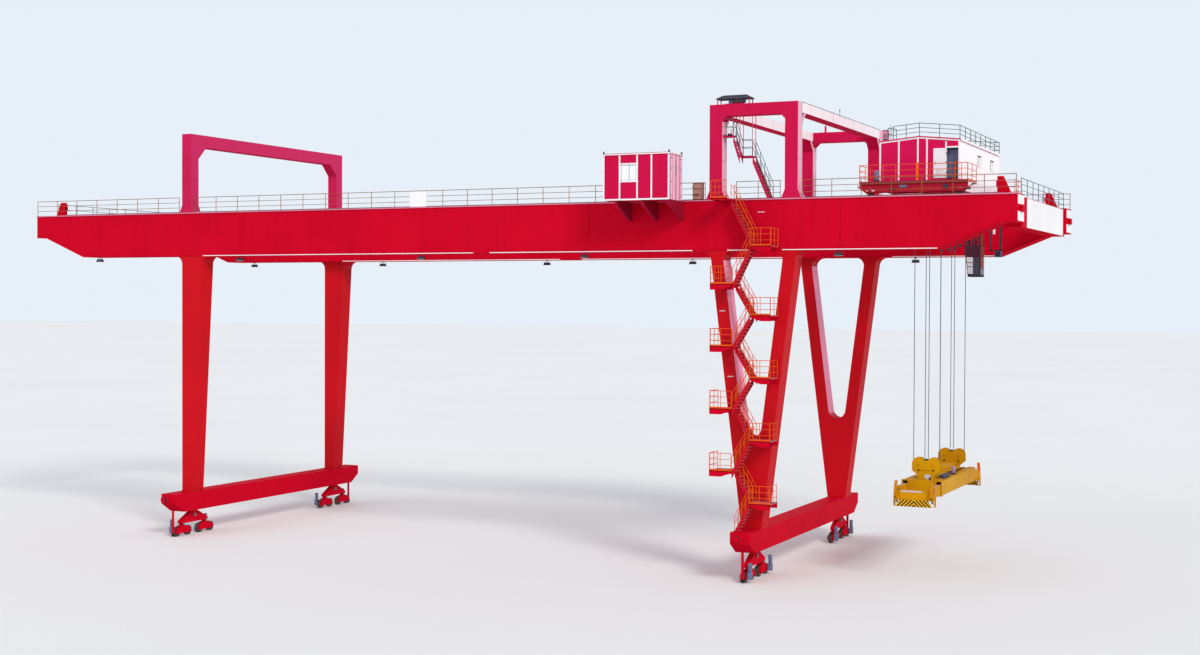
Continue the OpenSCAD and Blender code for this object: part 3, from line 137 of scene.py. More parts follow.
def steel(name, colour, dirt, rough=0.4):
    m = Nodes(name)
    wear = m.ramp(m.noise(30.0), 0.35, 0.7)
    rough = m.math("ADD", m.math("MULTIPLY", wear, 0.3), rough - 0.1)
    m.bump(m.noise(60.0, 3), 0.2, 0.002)
    return m.surface(m.mix(wear, colour, dirt), rough, Metallic=0.85)


def wire_rope(name):
    """Greased strands that run round the rope at a slant."""
    m = Nodes(name)
    at = m.split(m.co)
    turn = m.math("ADD", m.math("MULTIPLY", at["X"], 60.0), m.math("MULTIPLY", at["Y"], 60.0))
    lay = m.math("FRACT", m.math("ADD", m.math("MULTIPLY", at["Z"], 28.0), turn))
    lay = m.math("ABSOLUTE", m.math("SUBTRACT", lay, 0.5))
    m.bump(lay, 0.6, 0.003)
    # The grooves between the strands are painted near black: painted shade in the creases.
    return m.surface(m.mix(m.ramp(lay, 0.1, 0.45), (84, 84, 90), (38, 36, 38)), 0.5, Metallic=0.2)


def glass(name, colour, sheen, alpha=0.75):
    m = Nodes(name)
    streak = m.ramp(m.noise(3.0, 3, 0.6, (1, 1, 0.4)), 0.35, 0.8)
    rough = m.math("ADD", m.math("MULTIPLY", streak, 0.05), 0.05)
    return m.surface(m.mix(streak, colour, sheen), rough, Alpha=alpha, Specular_IOR_Level=0.7)


def chevrons(name):
    """Spreader paint, with yellow and black stripes below the end beam."""
    m = Nodes(name)
    at = m.split(m.co)
    dx = m.math("ABSOLUTE", m.math("SUBTRACT", at["X"], SPX))
    saw = m.math("FRACT", m.math("MULTIPLY", m.math("ADD", dx, at["Z"]), 1 / 0.11))
    wear = m.ramp(m.noise(14.0), 0.6, 0.75)
    yellow = m.mix(wear, (226, 170, 20), (150, 110, 40))
    black = m.mix(wear, (28, 26, 26), (90, 78, 50))
    stripes = m.mix(m.math("GREATER_THAN", saw, 0.5), yellow, black)
    body = m.mix(m.ramp(m.noise(1.5), 0.3, 0.75), (212, 148, 0), (188, 124, 0))
    body = m.mix(m.math("MULTIPLY", wear, 0.4), body, (110, 76, 30))
    low = m.math("LESS_THAN", at["Z"], 2.44)
    out = m.math("GREATER_THAN", m.math("ABSOLUTE", at["Y"]), 3.18)
    m.bump(m.noise(20.0), 0.15, 0.004)
    return m.surface(m.mix(m.math("MULTIPLY", low, out), body, stripes), 0.5, IOR=1.22, Specular_IOR_Level=0.3)


def grating(name, colour):
    m = Nodes(name)
    at = m.split(m.co)
    a = m.math("FRACT", m.math("MULTIPLY", at["X"], 1 / 0.03))
    b = m.math("FRACT", m.math("MULTIPLY", at["Y"], 1 / 0.06))
    hole = m.math("MULTIPLY", m.math("GREATER_THAN", a, 0.3), m.math("GREATER_THAN", b, 0.2))
    # The holes are painted dark: painted shade seen down through the bars.
    hole_shade = (*(c * 0.35 for c in srgb(*colour)[:3]), 1.0)
    m.bump(m.math("SUBTRACT", 1.0, hole), 0.5, 0.004)
    return m.surface(m.mix(hole, colour, hole_shade), 0.55)


# Middle of the spreader and of the machinery house
SPX = 14.48
RED = paint("red_paint", (205, 8, 38), (120, 16, 30), (190, 6, 34), spec=0.04)
# Where a paint below takes a second colour for faces towards +X, that colour is a painted highlight: painted sun glare
# and sky reflection.
LEG = paint("leg_paint", (204, 10, 26), (120, 18, 26), (188, 8, 24), painted_highlight=(255, 176, 208), highlight_amount=0.92)
PORTAL = paint("portal_paint", (206, 16, 76), (130, 22, 50), (192, 12, 64), painted_highlight=(232, 190, 206))
LEFT_BEAM = paint("left_portal_paint", (200, 26, 82), (130, 22, 50), (190, 20, 70), painted_highlight=(200, 44, 96))
BEAM = paint("beam_paint", (204, 18, 74), (126, 22, 48), (190, 12, 62), painted_highlight=(250, 244, 247), highlight_amount=0.97)
EHOUSE = paint("e_house_paint", (206, 8, 70), (126, 16, 44), (192, 6, 58), painted_highlight=(229, 156, 189))
HOUSE = paint("house_paint", (216, 14, 86), (130, 20, 50), (202, 10, 72), painted_highlight=(255, 253, 255), highlight_amount=1.0)
MAROON = paint("trolley_paint", (184, 26, 52), (104, 26, 44), (156, 22, 48), grime=0.5, painted_highlight=(246, 236, 242))
BAND = paint("cab_band_paint", (112, 36, 60), (60, 34, 44), (92, 32, 54))
# The e-house brackets take a darker red than the girders: painted shade under the e-house.
SHADED_BRACKET = paint("bracket_painted_shade", (152, 20, 48), (96, 24, 40), (136, 16, 42))
YELLOW = paint("yellow_paint", (146, 90, 40), (96, 66, 42), (128, 76, 36), ior=1.4)
STAIR = paint("stair_paint", (234, 92, 10), (150, 50, 24), (218, 66, 10), ior=1.3)
SPREADER = paint("spreader_paint", (206, 150, 0), (120, 84, 30), (188, 130, 0), 0.45, 0.5)
GOLD = paint("front_arm_paint", (206, 136, 4), (128, 76, 26), (188, 114, 4), 0.45)
ORANGE = paint("rear_arm_paint", (244, 116, 4), (150, 70, 20), (230, 92, 4), 0.45)
WHITE = paint("white_paint", (244, 242, 244), (176, 166, 164), (236, 232, 234), 0.5, 0.16, ior=1.4)
PALE = paint("pale_paint", (204, 196, 200), (140, 130, 130), (186, 180, 184), 0.5, 0.4, ior=1.4)
TREAD = paint("tread_paint", (176, 116, 124), (110, 80, 80), (160, 100, 108), 0.55, 0.4, ior=1.4)
LILAC = paint("lilac_paint", (176, 150, 192), (96, 88, 100), (156, 132, 174), 0.45, ior=1.4)
PINK = paint("pink_paint", (218, 136, 164), (140, 76, 96), (206, 122, 150), 0.45, ior=1.4)
BLUEGREY = paint("blue_grey_paint", (112, 124, 154), (80, 78, 90), (94, 104, 138), ior=1.4)
DARK = paint("dark_paint", (64, 60, 76), (90, 80, 80), (50, 48, 62), ior=1.4)
RAILGREY = paint("rail_grey_paint", (76, 94, 104), (90, 84, 80), (62, 82, 92), ior=1.4)
BROWN = paint("brown_paint", (184, 142, 128), (120, 90, 80), (168, 126, 114), 0.55, ior=1.3)
RUBBER = paint("buffer_rubber", (36, 34, 34), (70, 64, 60), (30, 29, 29), 0.75, 0.5, ior=1.4)
STRINGER = paint("stringer_paint", (198, 12, 34), (116, 18, 30), (182, 10, 30), above=(11.22, (192, 22, 78)))
STEEL = steel("rail_steel", (150, 142, 138), (96, 74, 62))
IRON = steel("wheel_iron", (96, 92, 90), (60, 50, 46), 0.45)
ROPE = wire_rope("wire_rope")
GLASS = glass("window_glass", (96, 130, 146), (150, 178, 190))
# Near-white panes: a painted reflection of the sky in the window glass.
SKY_REFLECTION_PANE = glass("painted_sky_reflection_pane", (240, 244, 250), (250, 252, 255), 0.97)
CABGLASS = glass("cab_glass", (58, 48, 66), (84, 72, 92), 0.92)
LENS = glass("lamp_lens", (220, 226, 226), (236, 240, 240), 0.9)
DECK_RED = grating("deck_grating", (182, 32, 58))
CHEVRON = chevrons("hazard_stripes")


# Mesh building
UP, ALONG_X = (0, 0, 1), (1, 0, 0)
SIDES = (-1, 1)
PAIRS = [(s, t) for s in SIDES for t in SIDES]


def across(d):
    """Two axes square to d and to each other."""
    a = d.orthogonal().normalized()
    return a, d.cross(a)


def circle(c, a, b, r, n):
    turns = (2 * math.pi * i / n for i in range(n))
    return [c + (a * math.cos(t) + b * math.sin(t)) * r for t in turns]


class Build:
    """Collects the faces of one piece, with a material index for each."""

    def __init__(self, *mats):
        self.mats = mats
        self.v, self.f, self.m, self.s = [], [], [], []
        self.k = 0

    def use(self, k):
        """The faces that follow take material k of the piece."""
        self.k = k
        return self

    def put(self, verts, faces, smooth=False, flat=()):
        o = len(self.v)
        self.v.extend(tuple(map(float, p)) for p in verts)
        for group, soft in ((faces, smooth), (flat, False)):
            for f in group:
                self.f.append(tuple(o + i for i in f))
                self.m.append(self.k)
                self.s.append(soft)
        return self

    def box(self, a, b):
        x0, y0, z0 = (min(p, q) for p, q in zip(a, b))
        x1, y1, z1 = (max(p, q) for p, q in zip(a, b))
        v = [(x, y, z) for z in (z0, z1) for y in (y0, y1) for x in (x0, x1)]
        f = [(0, 2, 3, 1), (4, 5, 7, 6), (0, 1, 5, 4), (2, 6, 7, 3), (0, 4, 6, 2), (1, 3, 7, 5)]
        return self.put(v, f)

    def post(self, x, w, y, d, z0, z1):
        """A box that reaches w to each side of x and d to each side of y."""
        return self.box((x - w, y - d, z0), (x + w, y + d, z1))

    def slab(self, x, w, y0, y1, z0, z1):
        """A box that reaches w to each side of x."""
        return self.box((x - w, y0, z0), (x + w, y1, z1))

    def bar(self, x0, x1, y, w, z0, z1):
        """A box that reaches w to each side of y."""
        return self.box((x0, y - w, z0), (x1, y + w, z1))

    def prism(self, pts, axis, a, b):
        """An outline extruded from a to b. Axis y takes (x, z), x takes (y, z), z takes (x, y)."""
        n, i = len(pts), "xyz".index(axis)
        v = [(*p[:i], t, *p[i:]) for t in (a, b) for p in pts]
        area = sum(p[0] * q[1] - q[0] * p[1] for p, q in zip(pts, [*pts[1:], pts[0]]))
        ring = range(n)
        faces = [tuple(reversed(ring)), tuple(i + n for i in ring)]
        faces += [(i, (i + 1) % n, (i + 1) % n + n, i + n) for i in ring]
        if ((area > 0) == (b > a)) == (axis == "y"):
            faces = [tuple(reversed(f)) for f in faces]
        return self.put(v, faces)

    def beam(self, p, q, w, h, up=UP):
        """A bar from p to q, w wide and h deep."""
        p, q, up = Vector(p), Vector(q), Vector(up)
        d = (q - p).normalized()
        side = d.cross(up)
        if side.length < 1e-6:
            side = d.cross(Vector(ALONG_X))
        side.normalize()
        top = side.cross(d).normalized()
        c = [(s * w / 2, t * h / 2) for s, t in ((-1, -1), (1, -1), (1, 1), (-1, 1))]
        v = [e + side * a + top * b for e in (p, q) for a, b in c]
        f = [(0, 1, 2, 3), (7, 6, 5, 4), (0, 4, 5, 1), (1, 5, 6, 2), (2, 6, 7, 3), (3, 7, 4, 0)]
        return self.put(v, f)

    def loft(self, rings, flat=True):
        """A smooth skin over rings of points, with a flat or a smooth cap at each end."""
        n = len(rings[0])
        last = (len(rings) - 1) * n
        sides = [(i + k, i + (k + 1) % n, i + n + (k + 1) % n, i + n + k) for i in range(0, last, n) for k in range(n)]
        caps = [tuple(reversed(range(n))), tuple(range(last, last + n))]
        points = [p for ring in rings for p in ring]
        return self.put(points, sides, True, caps) if flat else self.put(points, sides + caps, True)

    def tube(self, p, q, r, n=8):
        p, q = Vector(p), Vector(q)
        a, b = across((q - p).normalized())
        return self.loft([circle(c, a, b, r, n) for c in (p, q)])

    def path(self, pts, r, n=8):
        """A round tube through points, with mitred corners."""
        pts = [Vector(p) for p in pts]
        steps = [(q - p).normalized() for p, q in zip(pts, pts[1:])]
        ref = steps[0].orthogonal().normalized()
        rings = []
        for p, d0, d1 in zip(pts, [None, *steps], [*steps, None]):
            d = (d0 + d1).normalized() if d0 and d1 else (d0 or d1)
            ref = (ref - d * ref.dot(d)).normalized()
            rings.append(circle(p, ref, d.cross(ref), r, n))
        return self.loft(rings)

    def lathe(self, prof, centre, axis, n=32):
        """A profile of (distance along the axis, radius) turned about the axis."""
        c, d = Vector(centre), Vector(axis).normalized()
        a, b = across(d)
        return self.loft([circle(c + d * h, a, b, r, n) for h, r in prof], False)

    def bolts(self, points, axis, r, h):
        for p in points:
            self.tube(p, Vector(p) + Vector(axis) * h, r, 6)
        return self

    def make(self, name, body, slot, *replaced, bevel=0.0):
        mesh = bpy.data.meshes.new(name)
        mesh.from_pydata(self.v, [], self.f)
        for mat in self.mats:
            mesh.materials.append(mat)
        mesh.polygons.foreach_set("material_index", self.m)
        mesh.polygons.foreach_set("use_smooth", self.s)
        mesh.update()
        o = bpy.data.objects.new(name, mesh)
        bpy.context.scene.collection.objects.link(o)
        if any(self.s):
            mesh.set_sharp_from_angle(angle=math.radians(40))
        if bevel:
            add_bevel(o, bevel)
        if body:
            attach(o, body)
        if replaced:
            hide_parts(*replaced)
        return o


def add_bevel(o, width, weld=False):
    if weld:
        o.modifiers.new("weld", "WELD").merge_threshold = 0.0004
    b = o.modifiers.new("bevel", "BEVEL")
    b.width = width
    b.segments = 2
    b.limit_method = "ANGLE"
    b.angle_limit = math.radians(35)


def dress(mat, *names, bevel):
    """Gives carried-over CAD nodes their finish and a small edge radius."""
    for name in names:
        o = NODES[name]
        o.data.materials.clear()
        o.data.materials.append(mat)
        add_bevel(o, bevel, weld=True)


# Sizes that repeat the part's source, in metres
HALF_L = 17.65
GIRDER_Y = 4.125
TOP = 11.205
BOTTOM = 9.685
OUT_Y = 4.625
IN_Y = 3.625
RAIL_Y = 3.875
RAIL_T = 0.02
RAIL_H = 0.525
PITCH = 0.915
FENCE_Y = OUT_Y - 0.03
RX = 10.0
LX = -10.99
TIE_INSET, TIE_W = 0.06, 0.5
TIE_X = HALF_L - TIE_INSET - TIE_W / 2
TIE_TOP = TOP - 0.05
SPLICES = (-14.64, -8.47, -1.25, 4.61, 12.7)
LEG_Y = 4.3125
SILLS = (-10.78, 10.0)
TX = 14.6
DECK = 11.6
HX0, HX1, HY = 13.295, 15.665, 2.825
EAVES, RIDGE = 12.89, 13.005
CABX, CABZ = 15.26, 8.96
CAB_BACK, CAB_TOP, PANE_LOW, PANE_TOP = 15.74, 9.93, 9.02, 9.57
CAB_IN, CAB_OUT = 0.25, 0.28
# Sheave centres, the radius on which a rope lies, sheave plates, frame tubes and flipper hinges
SHEAVE_Z, SHEAVE_X, ROPE_R, ROPE_TOP = 3.353, 0.222, 0.1704, 11.45
BLOCK_Y, PLATE_Y, TUBE_X = 1.675, 0.085, 0.5
HINGE_X, HINGE_Y, HINGE_Z = 0.53, 3.26, 2.555
# Portal columns and the outer faces of the side beams, and the ground wheels' axles
PORTAL_Y, PORTAL_X, BEAM_X = 4.425, 1.17, 1.37
WHEEL_Z = 0.165


# Repeated details
def bars(b, x0, x1, y0, y1, z):
    """An open grating: bars along Y in a rim, with three cross rods."""
    step, h = 0.03, 0.02
    for x in (x0, x1 - 0.008):
        b.box((x, y0, z - h), (x + 0.008, y1, z))
    for y in (y0, y1 - 0.008):
        b.box((x0, y, z - h), (x1, y + 0.008, z))
    n = max(2, round((x1 - x0) / step))
    for i in range(1, n):
        x = x0 + (x1 - x0) * i / n
        b.slab(x, 0.003, y0, y1, z - h, z)
    for i in (1, 2, 3):
        y = y0 + (y1 - y0) * i / 4
        b.bar(x0, x1, y, 0.003, z - h + 0.004, z - h + 0.01)


def rounded(pts, rad):
    """The points of a path with each corner turned into a short arc."""
    pts = [Vector(p) for p in pts]
    out = [pts[0]]
    for a, c, d in zip(pts, pts[1:], pts[2:]):
        u, v = (a - c).normalized(), (d - c).normalized()
        r = min(rad, (a - c).length / 2.2, (d - c).length / 2.2)
        out += [c + u * r, c + (u + v) * r * 0.3, c + v * r]
    return out + [pts[-1]]


def fence(b, p, q, h=RAIL_H, pitch=PITCH, posts=None):
    """Round posts with foot plates, and three rails between two points on the floor."""
    p, q = Vector(p), Vector(q)
    length, r = math.hypot((q - p).x, (q - p).y), RAIL_T / 2
    u = (q - p) / length
    n = max(1, round(length / pitch))
    z = Vector(UP)
    for t in posts or [i / n for i in range(n + 1)]:
        c = p + u * r + (q - p - u * 2 * r) * t
        b.tube(c, c + z * (h - r), r, 8)
        b.box(c - Vector((0.022, 0.01, 0)), c + Vector((0.022, 0.01, 0.006)))
    for k in (1 / 3, 2 / 3, 1):
        c = z * (h * k - r)
        b.tube(p + c, q + c, r * (1.0 if k == 1 else 0.8), 8)


def slant(b, p, q, w, posts):
    """Handrails on both sides of a flight from p down to q."""
    p, q, h, r = Vector(p), Vector(q), 0.45, 0.009
    for t in SIDES:
        side = Vector((0, t * w / 2, 0))
        foot, head = p + side, q + side
        up = Vector((0, 0, h - r))
        b.path(rounded([foot, foot + up, head + up, head], 0.06), r)
        b.tube(foot + up / 2, head + up / 2, r * 0.75)
        for i in range(1, posts):
            c = foot.lerp(head, i / posts)
            b.tube(c, c + up, r * 0.9)


def tread(b, x, y, z, w):
    for i in range(5):
        c = x - 0.052 + i * 0.026
        b.slab(c, 0.004, y - w / 2, y + w / 2, z - 0.012, z + 0.006)
    for t in SIDES:
        b.slab(x, 0.055, y + t * w / 2 - 0.004, y + t * w / 2 + 0.004, z - 0.016, z + 0.006)


def motor(b, c, axis, r, length, n=20):
    """A finned electric motor with its fan cowl and terminal box."""
    c, d = Vector(c), Vector(axis).normalized()
    prof = [(0, r * 0.9), (length * 0.08, r)]
    fins = 9
    for i in range(fins):
        h = length * (0.1 + 0.62 * i / fins)
        prof += [(h, r * 0.86), (h + length * 0.02, r * 0.86), (h + length * 0.02, r), (h + length * 0.045, r)]
    prof += [(length * 0.74, r * 0.86), (length * 0.76, r * 1.04), (length * 0.96, r * 1.04), (length, r * 0.8)]
    b.lathe(prof, c, d, n)
    m = c + d * length * 0.4
    b.box(m + Vector((-r * 0.5, -r * 0.45, r * 0.7)), m + Vector((r * 0.5, r * 0.45, r * 1.35)))


def hinge(b, x, y, z, out):
    b.tube((x, y + out * 0.006, z - 0.03), (x, y + out * 0.006, z + 0.03), 0.007)
    for t in SIDES:
        b.box((x, y, z - 0.022), (x + t * 0.03, y + out * 0.004, z + 0.022))


def handle(b, x, y, z, out):
    far, top = y + out * 0.028, z + 0.09
    b.path(rounded([(x, y, z), (x, far, z), (x, far, top), (x, y, top)], 0.012), 0.005)


def wheel(b, centre, axis, r, w, flange, hub):
    """A flanged wheel turned from one profile, with its hub."""
    f, t = r + flange, w / 2
    prof = [(-hub, r * 0.3), (-t - 0.012, r * 0.62), (-t - 0.012, f - 0.004), (-t - 0.008, f), (-t + 0.004, f),
            (-t + 0.01, r + 0.002), (-t + 0.016, r), (t - 0.016, r), (t - 0.01, r + 0.002), (t - 0.004, f),
            (t + 0.008, f), (t + 0.012, f - 0.004), (t + 0.012, r * 0.78), (t + 0.012, r * 0.3), (hub, r * 0.3)]
    b.lathe(prof, centre, axis, 48)


def rim(a0, a1, z0, z1, w):
    """The left, right, bottom and top bar of a rectangular frame."""
    return [(a0, a0 + w, z0, z1), (a1 - w, a1, z0, z1), (a0, a1, z0, z0 + w), (a0, a1, z1 - w, z1)]


def ring(x, y, z, r, n, start=0.0, axis="x"):
    """Evenly spaced points on a circle about an axis along x or y."""
    turns = [(r * math.cos(a), r * math.sin(a)) for a in np.linspace(start, 2 * math.pi + start, n + 1)[:n]]
    return [(x, y + c, z + d) if axis == "x" else (x + c, y, z + d) for c, d in turns]


# Dressed CAD nodes
dress(RED, "front_girder", "rear_girder", "end_ties", "left_sill_beam", "right_sill_beam", bevel=0.008)
dress(LEG, "left_front_leg", "left_rear_leg", "right_front_leg", "right_rear_leg", bevel=0.01)
dress(PORTAL, "right_portal_front", "right_portal_rear", bevel=0.008)
dress(LEFT_BEAM, "left_portal_columns", "left_portal_beam", bevel=0.008)
dress(BEAM, "right_portal_side_beams", bevel=0.008)
dress(EHOUSE, "e_house_walls", "e_house_roof", bevel=0.006)
dress(HOUSE, "machinery_house_walls", "machinery_house_roof", bevel=0.005)
dress(RED, "bogies", "end_stops", bevel=0.005)
# The brackets get the darker red, a painted shade.
dress(SHADED_BRACKET, "e_house_brackets", bevel=0.005)
dress(MAROON, "trolley_frame", bevel=0.005)
dress(STRINGER, "stair_stringers", bevel=0.002)
dress(DECK_RED, "trolley_deck", bevel=0.003)
dress(WHITE, "e_house_battens", "machinery_house_battens", bevel=0.003)
dress(SPREADER, "head_block", "spreader_frame", bevel=0.005)
dress(CHEVRON, "front_spreader_end", "rear_spreader_end", bevel=0.004)
dress(STEEL, "trolley_rails", bevel=0.002)


# Handrails on the girders and end ties
def walkway(s):
    b = Build(YELLOW)
    y = s * FENCE_Y
    left_in, left_out = LX + 0.53, LX - 0.13
    spans = [(-HALF_L + 0.03, left_out), (left_in, RX - 1.5), (RX + 1.5, HALF_L - 0.03)]
    spans.append((RX + (-0.538 if s < 0 else -0.84), RX + 0.84))
    for x0, x1 in spans:
        fence(b, (x0, y, TOP), (x1, y, TOP))
    return b


walkway(-1).make("front_handrail_tubes", "crane", "rail_yellow", "front_handrail")
walkway(1).make("rear_handrail_tubes", "crane", "rail_yellow", "rear_handrail")
b = Build(RAILGREY)
for s in SIDES:
    x = s * (TIE_X + 0.22)
    fence(b, (x, -IN_Y + 0.02, TIE_TOP), (x, IN_Y - 0.02, TIE_TOP))
b.make("end_handrail_tubes", "crane", "rail_yellow", "end_handrails")


# Girders: splice bolts, weld beads, rail clips, stop pads, end plates
def girder_fittings(s):
    b = Build(RED, STEEL, RUBBER)
    y = s * GIRDER_Y
    for t in SIDES:
        web = y + t * 0.47
        for x in SPLICES:
            at = [(x + dx, web + t * 0.012, z) for dx in (-0.038, 0.038) for z in np.linspace(9.77, 11.12, 15)]
            b.use(0).bolts(at, (0, t, 0), 0.012, 0.01)
        for z in (BOTTOM + 0.031, TOP - 0.031):
            b.beam((-15.45, web, z), (15.45, web, z), 0.014, 0.014)
        for i in range(-10, 11):
            b.beam((i * 1.5 + 0.4, web, BOTTOM + 0.03), (i * 1.5 + 0.4, web, TOP - 0.03), 0.005, 0.012, ALONG_X)
    for i in range(-22, 23):
        for t in SIDES:
            c = s * RAIL_Y + t * 0.05
            b.use(1).slab(i * 0.75, 0.03, c - 0.022, c + 0.02, TOP, TOP + 0.018)
            b.tube((i * 0.75, c + t * 0.004, TOP + 0.018), (i * 0.75, c + t * 0.004, TOP + 0.032), 0.011, 6)
    for t in SIDES:
        x = t * (HALF_L + 0.04)
        for u in SIDES:
            b.use(0).lathe([(0, 0.022), (0.008, 0.022), (0.008, 0.036), (0, 0.039)],
                           (x, y + u * 0.1667, 10.8025), (0, u, 0), 24)
        stop = t * (HALF_L - 0.495)
        b.use(2).lathe([(0, 0.05), (0.012, 0.062), (0.028, 0.062), (0.031, 0.05)],
                       (stop - t * 0.194, s * RAIL_Y, 11.505), (-t, 0, 0), 28)
        b.use(0)
        for dx in (-0.16, 0.16):
            b.bolts([(stop + dx, s * RAIL_Y + u * 0.1, TOP) for u in SIDES], UP, 0.014, 0.022)
            b.bar(stop + dx - 0.05, stop + dx + 0.05, s * RAIL_Y, 0.13, TOP, TOP + 0.008)
    return b


girder_fittings(-1).make("front_girder_fittings", "crane", "crane_red")
girder_fittings(1).make("rear_girder_fittings", "crane", "crane_red")

b = Build(WHITE, PALE, PINK)
b.prism([(-2.87, 10.31), (3.32, 10.31), (3.32, 11.14), (-2.87, 11.14)], "x", HALF_L - TIE_INSET,
        HALF_L - TIE_INSET + 0.004)
for s in SIDES:
    for z0, z1 in ((10.44, 10.7), (10.905, 11.165)):
        b.bar(HALF_L, HALF_L + 0.003, s * GIRDER_Y, 0.45, z0, z1)
b.use(2).box((-HALF_L, -OUT_Y - 0.001, TOP - 0.036), (HALF_L, -OUT_Y, TOP - 0.004))
# Pale lines along the bottom edges of the girders, broken in places: a painted reflection of the sky that the
# undersides catch at a grazing angle.
b.use(0)
for y, spans in ((-OUT_Y, ((-10.1, 0.6), (1.2, 8.1), (9.2, 9.9), (10.9, 15.45))),
                 (IN_Y, ((-9.9, -0.4), (0.5, 8.4), (12.0, 15.4)))):
    for x0, x1 in spans:
        b.box((x0, y - 0.001, BOTTOM + 0.004), (x1, y, BOTTOM + 0.028))
b.use(1).box((10.14, -4.597, 10.8), (10.35, -4.594, 10.825))
for x0, x1, z in ((8.97, 9.15, 7.908), (9.23, 9.42, 5.971)):
    b.box((x0, -OUT_Y - 0.002, z - 0.014), (x1, -OUT_Y, z + 0.014))
b.make("white_panels_and_painted_highlights", "crane", "trim_white", bevel=0.001)

# Portals: foot bolts and plates, seams, corner gussets
b = Build(PORTAL, STEEL)
for s in SIDES:
    y = s * PORTAL_Y
    for x in (LX + 0.2, RX - PORTAL_X, RX + PORTAL_X):
        for t in SIDES:
            b.use(1).bolts([(x + t * 0.265, y + dy, TOP + 0.02) for dy in (-0.14, 0, 0.14)], UP, 0.016, 0.11)
            b.use(0).bar(x + t * 0.24, x + t * 0.3, y, 0.19, TOP + 0.018, TOP + 0.03)
        b.beam((x - 0.2, y, 12.35), (x + 0.2, y, 12.35), 0.406, 0.008)
for t in SIDES:
    for i in range(-3, 4):
        b.post(RX + t * PORTAL_X, 0.203, i * 1.15, 0.003, 13.712, 14.008)
    x = RX + t * BEAM_X
    for s in SIDES:
        b.prism([(s * 4.224, 13.711), (s * 3.9, 13.711), (s * 4.224, 13.36)], "x", x - t * 0.4, x)
b.make("portal_fittings", "crane", "crane_red")

# Side beams: edge lines with clips, a short pole and a stub
b = Build(RAILGREY, PORTAL, STEEL)
for x in (RX - BEAM_X, RX + BEAM_X):
    b.use(0).tube((x, -4.3, 14.018), (x, 4.3, 14.018), 0.008)
    for i in range(-8, 9):
        b.use(2).post(x, 0.014, i * 0.5, 0.012, 14.008, 14.014)
b.use(0).tube((11.17, 0.22, 14.01), (11.17, 0.22, 14.27), 0.009)
b.tube((11.17, 0.22, 14.245), (11.17, 0.22, 14.283), 0.02, 12)
b.box((11.13, 0.18, 14.01), (11.21, 0.26, 14.018))
b.use(1).box((9.386, 4.395, 14.01), (9.447, 4.455, 14.25))
b.make("side_beam_conduits", "crane", "dark_paint")

# Rain roof, posts and service hoist on the right portal
b = Build(DARK, PORTAL, STEEL, ROPE, BLUEGREY)
x0, x1, y0, y1, z0 = 8.82, 9.9, -4.605, -4.245, 14.01
for x in (x0 + 0.045, x1 - 0.045):
    for y in (y0 + 0.035, y1 - 0.035):
        b.use(1).slab(x, 0.016, y - 0.016, y - 0.01, z0, z0 + 0.15)
        b.bar(x - 0.016, x - 0.01, y, 0.016, z0, z0 + 0.15)
        b.post(x, 0.03, y, 0.03, z0, z0 + 0.008)
foot = [(x0, y0), (x1, y0), (x1, y1), (x0, y1)]
top = [(x0 + 0.18, y0 + 0.15), (x1 - 0.18, y0 + 0.15), (x1 - 0.18, y1 - 0.15), (x0 + 0.18, y1 - 0.15)]
v = [(*p, z0 + h) for line, h in ((foot, 0.15), (foot, 0.172), (top, 0.275)) for p in line]
f = [(3, 2, 1, 0), (8, 9, 10, 11)] + [(k + i, k + (i + 1) % 4, k + (i + 1) % 4 + 4, k + i + 4)
                                     for k in (0, 4) for i in range(4)]
b.use(0).put(v, f)
for i in range(4):
    b.tube(v[4 + i], v[8 + i], 0.008)
    b.tube(v[8 + i], v[8 + (i + 1) % 4], 0.008)
for i in range(1, 9):
    x = x0 + 0.12 * i
    for y, yt in ((y0, y0 + 0.15), (y1, y1 - 0.15)):
        xt = min(max(x, x0 + 0.18), x1 - 0.18)
        b.tube((x, y, z0 + 0.172), (xt, yt, z0 + 0.275), 0.004, 6)
for y in (-4.5, -4.35):
    b.use(1).bar(9.05, 9.68, y, 0.02, z0, z0 + 0.03)
turns = [(0.012 + i * 0.008, 0.04 + 0.004 * (i % 2)) for i in range(30)]
b.use(2).lathe([(0, 0.055), (0.01, 0.055), (0.01, 0.04)] + turns + [(0.25, 0.04), (0.25, 0.055), (0.26, 0.055)],
               (9.3, -PORTAL_Y, z0 + 0.082), ALONG_X, 28)
b.use(4).box((9.17, -4.48, z0 + 0.028), (9.29, -4.37, z0 + 0.13))
motor(b, (9.57, -PORTAL_Y, z0 + 0.082), ALONG_X, 0.042, 0.12)
b.make("service_hoist", "crane", "dark_paint", "hoist_canopy", bevel=0.002)

b = Build(WHITE, DARK)
b.lathe([(0.05, 0.068), (0.06, 0.072), (0.17, 0.072), (0.176, 0.066), (0.18, 0.03)], (9.2, -4.44, 13.1), UP, 28)
b.use(1).lathe([(0.0, 0.06), (0.004, 0.066), (0.05, 0.07), (0.055, 0.06)], (9.2, -4.44, 13.1), UP, 28)
b.make("landing_drum", "crane", "trim_white")


# Stairs
def landing_z(i):
    return TOP if i == 0 else 9.8 if i == 1 else 8.7 - (i - 2) * 0.91


def near_x(i):
    return RX + (-0.558 if i == 0 else 0.177 if i % 2 else -0.373)


def far_x(i):
    return RX + (0.802 if i % 2 else -1.063)


def band_y(i):
    return -4.835 - (0.34 if i % 2 else 0)


FLIGHTS = [(near_x(i), landing_z(i), RX - 0.27 if i == 9 else near_x(i + 1), 1.5 if i == 9 else landing_z(i + 1),
            band_y(i), 0.3) for i in range(10)]
PORTAL_LOW, PORTAL_HIGH = 12.474, 13.099
FLIGHTS.append((RX - 0.034, PORTAL_LOW, RX + 0.51, TOP, -PORTAL_Y, 0.31))
FLIGHTS.append((RX - 0.64, PORTAL_HIGH, RX - 0.44, PORTAL_LOW, -PORTAL_Y, 0.31))

